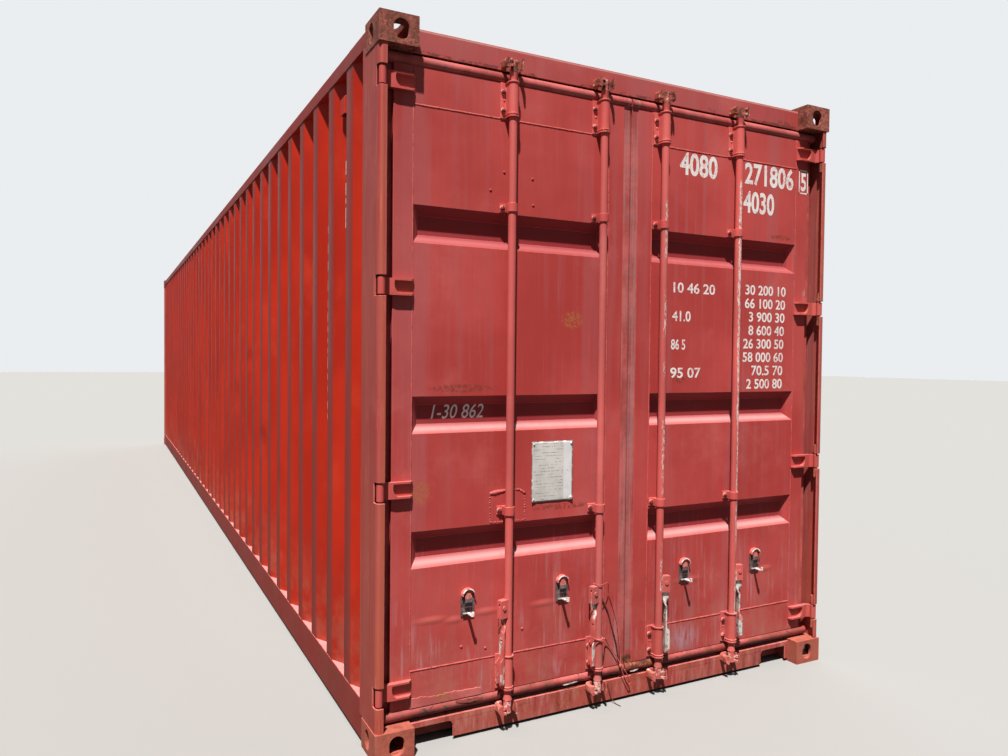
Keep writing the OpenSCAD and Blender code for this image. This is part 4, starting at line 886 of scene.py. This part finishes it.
def wall_marks(look, colour, rust):
    """The outer flats carry a painted purple-grey reflection of the sky; soft dents near the doors."""
    normal = look.normal()
    front = look.math("LESS_THAN", look.x, FRONT_X)
    sideways = look.both(look.math("SIGN", look.y), normal[1], look.math("SUBTRACT", front, 1.0))
    inward = look.math("ADD", look.both(front, normal[0]), sideways)
    colour, rust = lining(look, inward, colour, rust)
    # Painted reflection: the outer flats are tinted purple grey
    out = look.span(look.math("ABSOLUTE", look.y), 1.2095, 1.2115)
    colour = look.mix(look.both(out, 0.8), colour, PAINTED_SKY_REFLECTION)
    dents = None
    for x, z, long, tall in ((4.62, 1.30, 0.09, 0.16), (3.60, 1.02, 0.10, 0.12), (4.20, 0.80, 0.09, 0.20),
                             (3.05, 1.55, 0.10, 0.10), (2.45, 1.25, 0.12, 0.16)):
        dent = look.blob((x, -1.19, z), (long, 0.3, tall))
        dents = dent if dents is None else look.either(dents, dent)
    look.bump(dents, -0.006)
    return colour, rust


def roof_marks(look, colour, rust):
    """Worn and stained paint on the roof."""
    worn = look.span(look.cloud(2.2, 7, 0.7), 0.46, 0.60)
    colour = look.mix(look.both(worn, 0.7), colour, srgb(112, 62, 54))
    stain = look.span(look.cloud(1.0, 6, 0.65, look.stretched((1.4, 5, 5))), 0.50, 0.62)
    colour = look.mix(look.both(stain, 0.5), colour, srgb(96, 62, 54))
    return colour, look.either(rust, look.span(look.cloud(8, 8, 0.75), 0.60, 0.64))


def rusty(name):
    """Cast steel that has lost most of its paint."""
    look = Look(name)
    base = look.mix(look.span(look.cloud(14, 6, 0.7), 0.38, 0.62), srgb(120, 60, 48), srgb(168, 92, 78))
    base = look.mix(look.both(look.span(look.cloud(5, 5, 0.6), 0.5, 0.68), 0.7), base, srgb(182, 108, 84))
    grain = look.cloud(95, 6, 0.75)
    base = look.mix(look.both(look.span(grain, 0.56, 0.68), 0.55), base, srgb(206, 160, 128))
    pits = look.span(look.math("ADD", look.both(grain, 0.6), look.both(look.cells(70), 0.5)), 0.40, 0.30)
    base = look.mix(look.both(pits, 0.85), base, srgb(70, 36, 32))
    brown = look.span(look.cloud(22, 8, 0.75), 0.55, 0.63)
    base = look.mix(look.both(brown, 0.6), base, srgb(134, 82, 52))
    speck = look.both(look.span(look.z, 1.3, 1.4), look.span(look.cloud(64, 6, 0.78), 0.50, 0.56))
    base = look.mix(look.both(speck, 0.75), base, srgb(92, 50, 42))
    low = look.both(look.span(look.z, 1.4, 1.3), look.span(look.cloud(11, 6, 0.7), 0.34, 0.56, 0.35, 0.85))
    base = look.mix(look.both(low, 0.85), base, srgb(188, 98, 80))
    look.bump(look.cloud(26, 5, 0.65), 0.0022)
    look.bump(grain, 0.0011)
    look.bump(pits, -0.0010)
    return look.finish(base, look.span(grain, 0.3, 0.7, 0.66, 0.92), specular=0.3)


def keeper_paint():
    """Keepers and cams: salmon below, and above cream flakes over rust and dark hollows."""
    look = Look("chipped_keepers")
    high = look.span(look.z, 1.4, 1.5)
    lump = look.cloud(40, 5, 0.6)
    low = look.mix(look.span(look.cloud(30, 5, 0.65), 0.4, 0.6), srgb(186, 88, 78), srgb(214, 120, 108))
    low = look.mix(look.span(lump, 0.62, 0.67), low, srgb(236, 204, 196))
    top = look.mix(look.span(lump, 0.36, 0.56), srgb(88, 44, 38), srgb(168, 86, 70))
    top = look.mix(look.span(lump, 0.61, 0.66), top, srgb(222, 190, 168))
    brown = look.both(look.span(look.cloud(24, 6, 0.7), 0.54, 0.60), 0.7)
    colour = look.mix(high, low, top)
    colour = look.mix(brown, colour, look.mix(high, srgb(158, 80, 62), srgb(136, 84, 56)))
    look.bump(look.cloud(30, 5, 0.6), 0.0034)
    look.bump(lump, 0.0008)
    return look.finish(colour, 0.75, specular=0.3)


def worn_edge(name, main, rub=srgb(222, 132, 124)):
    """Edges where the paint is rubbed thin and broken by rust."""
    look = Look(name)
    pale = look.mix(look.span(look.cloud(20, 5, 0.7), 0.4, 0.6), main, rub)
    rust = look.span(look.cloud(30, 7, 0.75), 0.57, 0.63)
    colour = look.mix(look.both(rust, 0.85), pale, look.mix(look.cloud(80), RUST_DARK, RUST_BRIGHT))
    look.bump(rust, -0.0005)
    return look.finish(colour, look.span(rust, 0, 1, 0.55, 0.9))


def rubber():
    """Painted seals whose paint has cracked and flaked off the dark rubber."""
    look = Look("painted_rubber")
    colour = look.mix(look.span(look.cloud(5, 5, 0.6), 0.35, 0.65), srgb(160, 66, 62), srgb(196, 96, 92))
    runs = look.cloud(1.0, 5, 0.7, look.stretched((14, 5, 14)))
    colour = look.mix(look.both(look.span(runs, 0.5, 0.7), 0.4), colour, srgb(150, 92, 92))
    foot = look.span(look.z, 0.215, 0.195)
    dirty = look.both(foot, look.span(look.cloud(1.0, 6, 0.7, look.stretched((9, 9, 26))), 0.42, 0.58))
    colour = look.mix(look.both(dirty, 0.75), colour, srgb(132, 70, 58))
    # Painted shade on the lower half of the bottom seal
    underside_shade = look.both(look.span(look.z, 0.160, 0.140), look.span(look.cloud(9, 5, 0.7), 0.35, 0.6, 0.5, 1.0))
    colour = look.mix(look.both(underside_shade, 0.7), colour, srgb(84, 36, 34))
    middle = look.both(foot, look.band(look.y, -0.02, 0.175, 0.02), look.span(look.z, 0.135, 0.150))
    brown = look.mix(look.span(look.cloud(52, 6, 0.75), 0.42, 0.62), srgb(78, 44, 36), srgb(158, 88, 60))
    colour = look.mix(look.both(middle, look.span(look.cloud(17, 6, 0.7), 0.40, 0.50)), colour, brown)
    flake = look.span(look.cloud(36, 7, 0.78), 0.600, 0.625)
    low = look.span(look.z, 0.30, 0.12, 0.25, 1.0)
    flake = look.both(flake, low)
    colour = look.mix(flake, colour, srgb(66, 56, 56))
    rust = look.both(look.span(look.cloud(12, 7, 0.75), 0.60, 0.66), look.span(look.z, 0.3, 0.12, 0.15, 0.8))
    colour = look.mix(rust, colour, srgb(146, 78, 58))
    nose = look.both(look.span(look.math("ABSOLUTE", look.y), 0.05, 0.045), look.span(look.z, 0.22, 0.24))
    run = look.span(look.cloud(1.0, 6, 0.7, look.stretched((60, 60, 1.6), (3, 3, 3))), 0.44, 0.58)
    colour = look.mix(look.both(nose, run, 0.55), colour, srgb(164, 122, 120))
    look.bump(look.cloud(48, 4, 0.6), 0.0010)
    look.bump(flake, -0.0008)
    return look.finish(colour, 0.62, specular=0.35)


def handle_paint():
    """Handles: the left ones mostly painted, the right ones rubbed to white primer and steel."""
    look = Look("worn_handles")
    steel = look.mix(look.cloud(60, 5), srgb(112, 108, 106), srgb(176, 172, 166))
    white = look.mix(look.span(look.cloud(36, 6, 0.7), 0.40, 0.50), steel, srgb(236, 226, 216))
    right = look.span(look.y, -0.02, 0.02)
    edge = look.span(right, 0, 1, 0.44, 0.55)
    patch = look.cloud(17, 6, 0.68, look.stretched((1, 1, 0.5), (4, 2, 1)))
    red = look.span(look.math("SUBTRACT", patch, edge), -0.03, 0.03)
    paint = look.mix(look.span(look.cloud(9, 4), 0.4, 0.6), srgb(190, 84, 78), srgb(216, 112, 104))
    colour = look.mix(red, white, paint)
    dark = look.span(look.cloud(40, 7, 0.75, look.stretched((1, 1, 0.5), (1, 7, 3))), 0.60, 0.66)
    colour = look.mix(look.both(dark, 0.8), colour, srgb(92, 56, 50))
    look.bump(look.cloud(110, 4), 0.0004)
    look.bump(red, 0.0004)
    metal = look.both(look.math("SUBTRACT", 1.0, look.either(red, dark)), 0.35)
    return look.finish(colour, look.span(red, 0, 1, 0.5, 0.68), metallic=metal)


def catch_paint():
    """Catches: grey plate with painted shade for a slot, pink boss, and white worn hood and hook."""
    look = Look("worn_catches")
    grain = look.cloud(46, 6, 0.7)
    grey = look.mix(look.span(grain, 0.35, 0.65), srgb(70, 46, 48), srgb(132, 112, 112))
    white = look.mix(look.span(grain, 0.38, 0.50), srgb(196, 132, 124), srgb(242, 236, 230))
    pink = look.mix(look.span(grain, 0.4, 0.6), srgb(196, 96, 88), srgb(222, 134, 124))
    out = look.span(look.x, LEAF_X + 0.011, LEAF_X + 0.014)
    low = look.span(look.z, 0.545, 0.538)
    high = look.span(look.z, 0.596, 0.604)
    colour = look.mix(look.both(out, low), grey, white)
    colour = look.mix(high, colour, look.mix(look.span(look.x, LEAF_X + 0.017, LEAF_X + 0.0185), pink, white))
    boss = look.both(look.band(look.z, 0.585, 0.609, 0.002), look.span(look.x, LEAF_X + 0.010, LEAF_X + 0.012))
    colour = look.mix(boss, colour, pink)
    # Painted shade: a near-black slot where the catch's opening looks dark
    slot = look.both(look.band(look.z, 0.553, 0.566, 0.003),
                     look.span(look.x, LEAF_X + 0.013, LEAF_X + 0.0145))
    colour = look.mix(slot, colour, srgb(34, 24, 26))
    look.bump(look.cloud(110, 4), 0.0005)
    return look.finish(colour, 0.62, metallic=0.1)


def white_paint():
    """Stencilled white, rubbed thin and speckled with the red below it."""
    look = Look("white_paint")
    grain = look.cloud(120, 4, 0.7)
    worn = look.both(look.span(look.cloud(9, 5, 0.65), 0.42, 0.68), look.span(grain, 0.44, 0.58))
    colour = look.mix(look.both(look.span(grain, 0.3, 0.7), 0.35), srgb(236, 232, 228), srgb(208, 190, 184))
    colour = look.mix(look.both(worn, 0.75), colour, RED)
    return look.finish(colour, 0.6)


def plate_print():
    """Off-white plate with grey rules and smudges where the print has gone."""
    look = Look("faded_plate")
    colour = look.mix(look.span(look.cloud(9, 5, 0.6), 0.35, 0.65), srgb(214, 208, 202), srgb(190, 184, 178))
    row = look.math("FRACT", look.both(look.z, 1 / 0.0135))
    ink = look.both(look.span(row, 0.60, 0.66), look.span(row, 0.90, 0.84))
    breaks = look.span(look.cloud(1.0, 3, 0.8, look.stretched((1, 130, 74))), 0.46, 0.50)
    words = look.span(look.cloud(1.0, 2, 0.5, look.stretched((1, 13, 60), (0, 3, 1))), 0.47, 0.50)
    print_area = look.band(look.y, -0.494, -0.350, 0.004)
    colour = look.mix(look.both(ink, breaks, words, print_area, 0.75), colour, srgb(120, 116, 118))
    right = look.both(look.span(look.y, -0.345, -0.343), look.span(look.cloud(30, 4), 0.35, 0.5, 0.5, 1.0))
    colour = look.mix(look.both(right, 0.6), colour, srgb(228, 228, 230))
    rim = look.either(look.span(look.y, -0.500, -0.502), look.span(look.y, -0.303, -0.300),
                      look.span(look.z, 0.961, 0.959), look.span(look.z, 1.216, 1.219))
    colour = look.mix(look.both(rim, look.span(look.cloud(40, 4), 0.4, 0.5), 0.8), colour, srgb(96, 98, 106))
    spots = look.span(look.cloud(70, 5, 0.7), 0.64, 0.68)
    colour = look.mix(look.both(spots, 0.7), colour, RUST)
    look.bump(look.cloud(60, 3), 0.0003)
    return look.finish(colour, 0.5)


def bolt_heads():
    """Old bolts: salmon paint with rusty, blackened crowns."""
    look = Look("rusty_bolts")
    crown = look.span(look.x, FLANGE_X + 0.004, FLANGE_X + 0.008)
    colour = look.mix(look.span(look.cloud(60, 4, 0.6), 0.4, 0.6), srgb(196, 96, 90), srgb(216, 134, 124))
    colour = look.mix(look.both(crown, look.span(look.cloud(34, 4, 0.6), 0.30, 0.46)), colour,
                      srgb(96, 42, 38))
    look.bump(look.cloud(200, 4, 0.6), 0.0006)
    return look.finish(colour, 0.7)


def wire_finish(name, main, other):
    """Two colours in small clouds, on a fine grain."""
    look = Look(name)
    colour = look.mix(look.span(look.cloud(45, 5, 0.7), 0.42, 0.58), main, other)
    look.bump(look.cloud(1.0, 3, 0.6, look.stretched((500, 500, 160))), 0.0005)
    return look.finish(colour, 0.7)


def strip_paint():
    """The left door's edge strip, with mustard primer showing along its chipped top."""
    look = Look("edge_strip_paint")
    colour = look.mix(look.span(look.cloud(8, 6, 0.65), 0.38, 0.62), srgb(178, 84, 80), srgb(196, 104, 98))
    spot = look.blob((LEAF_X, -0.915, 0.195), (0.05, 0.05, 0.022))
    primer = look.both(spot, look.span(look.cloud(60, 6, 0.75), 0.42, 0.52))
    colour = look.mix(primer, colour, srgb(150, 106, 60))
    rust = look.span(look.cloud(42, 7, 0.75), 0.60, 0.66)
    colour = look.mix(look.both(rust, 0.8), colour, srgb(110, 56, 40))
    look.bump(look.cloud(70, 5, 0.6), 0.0010)
    return look.finish(colour, 0.7)


def plywood():
    """Floor boards with a long grain and scuffs."""
    look = Look("plywood")
    grain = look.cloud(1.0, 6, 0.6, look.stretched((2.2, 55, 55)), 1.5)
    colour = look.mix(grain, srgb(112, 82, 54), srgb(172, 134, 92))
    scuff = look.span(look.cloud(1.0, 6, 0.7, look.stretched((3, 18, 3))), 0.52, 0.66)
    colour = look.mix(look.both(scuff, 0.6), colour, srgb(92, 76, 62))
    look.bump(grain, 0.0005)
    return look.finish(colour, look.span(grain, 0, 1, 0.6, 0.8))


def make_looks():
    door = (RED, RED_DEEP, RED_PALE, RED_GREY)
    looks = {
        "door": painted("door_paint", *door, streaks=0.75, rusty=0.12, dusty=0.30, waves=0.0035,
                        extra=door_marks),
        "fittings": painted("fittings_paint", SALMON, RED, RED_PALE, RED_GREY, streaks=0.6, rusty=0.30,
                            dusty=0.3),
        "hinges": painted("hinge_paint", srgb(200, 88, 80), RED, RED_PALE, srgb(164, 92, 74), streaks=0.5,
                          rusty=0.75, dusty=0.2),
        "bars": painted("bar_paint", SALMON, srgb(186, 84, 80), srgb(216, 120, 114), srgb(180, 108, 106),
                        streaks=0.7, rusty=0.22, dusty=0.2, extra=bar_marks),
        "posts": painted("post_paint", srgb(178, 84, 74), RED_DEEP, RED_PALE, RED_GREY, streaks=0.7,
                         rusty=0.45, dusty=0.2, extra=post_marks),
        "frame": painted("frame_paint", srgb(174, 80, 78), RED_DEEP, RED_PALE, RED_GREY, streaks=0.5,
                         rusty=0.40, dusty=0.30, extra=frame_marks),
        "keeper": keeper_paint(),
        "walls": painted("wall_paint", ORANGE_RED, WALL_DEEP, srgb(216, 62, 34), srgb(180, 54, 38),
                         streaks=0.15, rusty=0.15, dusty=0.4, waves=0.004, extra=wall_marks),
        "roof": painted("roof_paint", srgb(140, 64, 56), srgb(116, 52, 46), srgb(156, 84, 76),
                        srgb(136, 96, 90), streaks=0.2, rusty=0.6, dusty=0.0, waves=0.003, extra=roof_marks),
        "base": painted("base_paint", srgb(140, 62, 52), srgb(110, 50, 44), srgb(160, 84, 74),
                        srgb(120, 70, 62), streaks=0.5, rusty=0.9, dusty=0.8),
        "casting": rusty("rusty_casting"),
        "seal": rubber(),
        "bolt": bolt_heads(),
        "white": white_paint(),
        "chalk": wire_finish("chalk", srgb(250, 246, 246), srgb(236, 226, 230)),
        "plate": plate_print(),
        "strip": strip_paint(),
        "peel": wire_finish("peeled_rubber", srgb(224, 204, 196), srgb(150, 110, 104)),
        "weld": worn_edge("weld_paint", srgb(186, 76, 72), srgb(200, 96, 92)),
        "salmon": wire_finish("painted_wire", srgb(208, 96, 90), srgb(168, 70, 66)),
        "dark": wire_finish("rusty_wire", srgb(78, 40, 36), srgb(120, 62, 52)),
        "handle": handle_paint(),
        "catch": catch_paint(),
        "wood": plywood(),
        "door_edge": worn_edge("worn_paint_edge", SALMON),
        "leaf_edge": worn_edge("worn_leaf_edge", RED, RED_PALE),
        "wall_edge": worn_edge("worn_wall_edge", srgb(196, 72, 52)),
        "casting_edge": worn_edge("worn_casting_edge", srgb(180, 112, 92)),
    }
    return looks


# Carried-over CAD nodes: a material, worn bevelled edges

FINISH = [
    ("casting", "casting_edge", 3.5, ["top_corner_castings", "bottom_corner_castings"]),
    ("keeper", "keeper", 2.2, ["sill_keepers", "header_keepers"]),
    ("casting", "casting_edge", 0.6, ["hinge_pins"]),
    ("posts", "door_edge", 1.2, ["rear_corner_posts", "front_corner_posts"]),
    ("posts", "door_edge", 1.0, ["rear_post_channels"]),
    ("frame", "door_edge", 1.2, ["door_header", "door_sill"]),
    ("walls", "wall_edge", 0.8, ["left_side_wall", "right_side_wall", "front_wall", "side_vents"]),
    ("walls", "wall_edge", 2.0, ["top_side_rails", "bottom_side_rails"]),
    ("walls", "wall_edge", 2.0, ["front_top_rail", "front_bottom_rail"]),
    ("roof", "door_edge", 0.8, ["roof", "roof_corner_plates"]),
    ("base", "door_edge", 1.0, ["cross_members", "gooseneck_tunnel"]),
    ("wood", "wood", 1.5, ["floor_boards"]),
    ("door", "leaf_edge", 1.5, ["left_door_stiles", "right_door_stiles"]),
    ("door", "leaf_edge", 1.0, ["left_door_rails", "right_door_rails"]),
    ("door", "leaf_edge", 0.8, ["left_door_panel", "right_door_panel"]),
    ("hinges", "door_edge", 1.5, ["left_door_hinges", "right_door_hinges"]),
    ("fittings", "door_edge", 1.0, ["left_door_bar_brackets", "right_door_bar_brackets"]),
    ("seal", "seal", 1.0, ["left_door_seal", "right_door_seal"]),
    ("catch", "catch", 0.8, ["left_door_handle_catches", "right_door_handle_catches"]),
    ("bars", "door_edge", 1.0, [side + "_locking_bar" for side in BARS]),
    ("handle", "handle", 0.7, [side + "_handle" for side in BARS]),
]


def dress_nodes(looks):
    """Gives each carried-over node its two materials and its worn edges."""
    for main, edge, width, names in FINISH:
        for name in names:
            node = NODES[name]
            node.data.materials.clear()
            node.data.materials.append(looks[main])
            node.data.materials.append(looks[edge])
            weld = node.modifiers.new("weld", "WELD")
            weld.merge_threshold = 0.00002
            bevel = node.modifiers.new("bevel", "BEVEL")
            bevel.width = width * MM
            bevel.segments = 2
            bevel.limit_method = "ANGLE"
            bevel.angle_limit = math.radians(28)
            bevel.material = 1
            bevel.harden_normals = False
            bevel.use_clamp_overlap = True
            smooth = node.modifiers.new("normals", "WEIGHTED_NORMAL")
            smooth.keep_sharp = False


make_camera()
WIRES = make_wires()
make_stage()
make_lights()
LOOKS = make_looks()
for wire, finish in WIRES:
    wire.data.materials.append(LOOKS[finish])
dress_nodes(LOOKS)
make_bolts(LOOKS)
make_rivets(LOOKS)
make_welds(LOOKS)
make_bottom_strip(LOOKS)
make_seal_flap(LOOKS)
make_figures(LOOKS)
make_plate(LOOKS)
make_dashes(LOOKS)
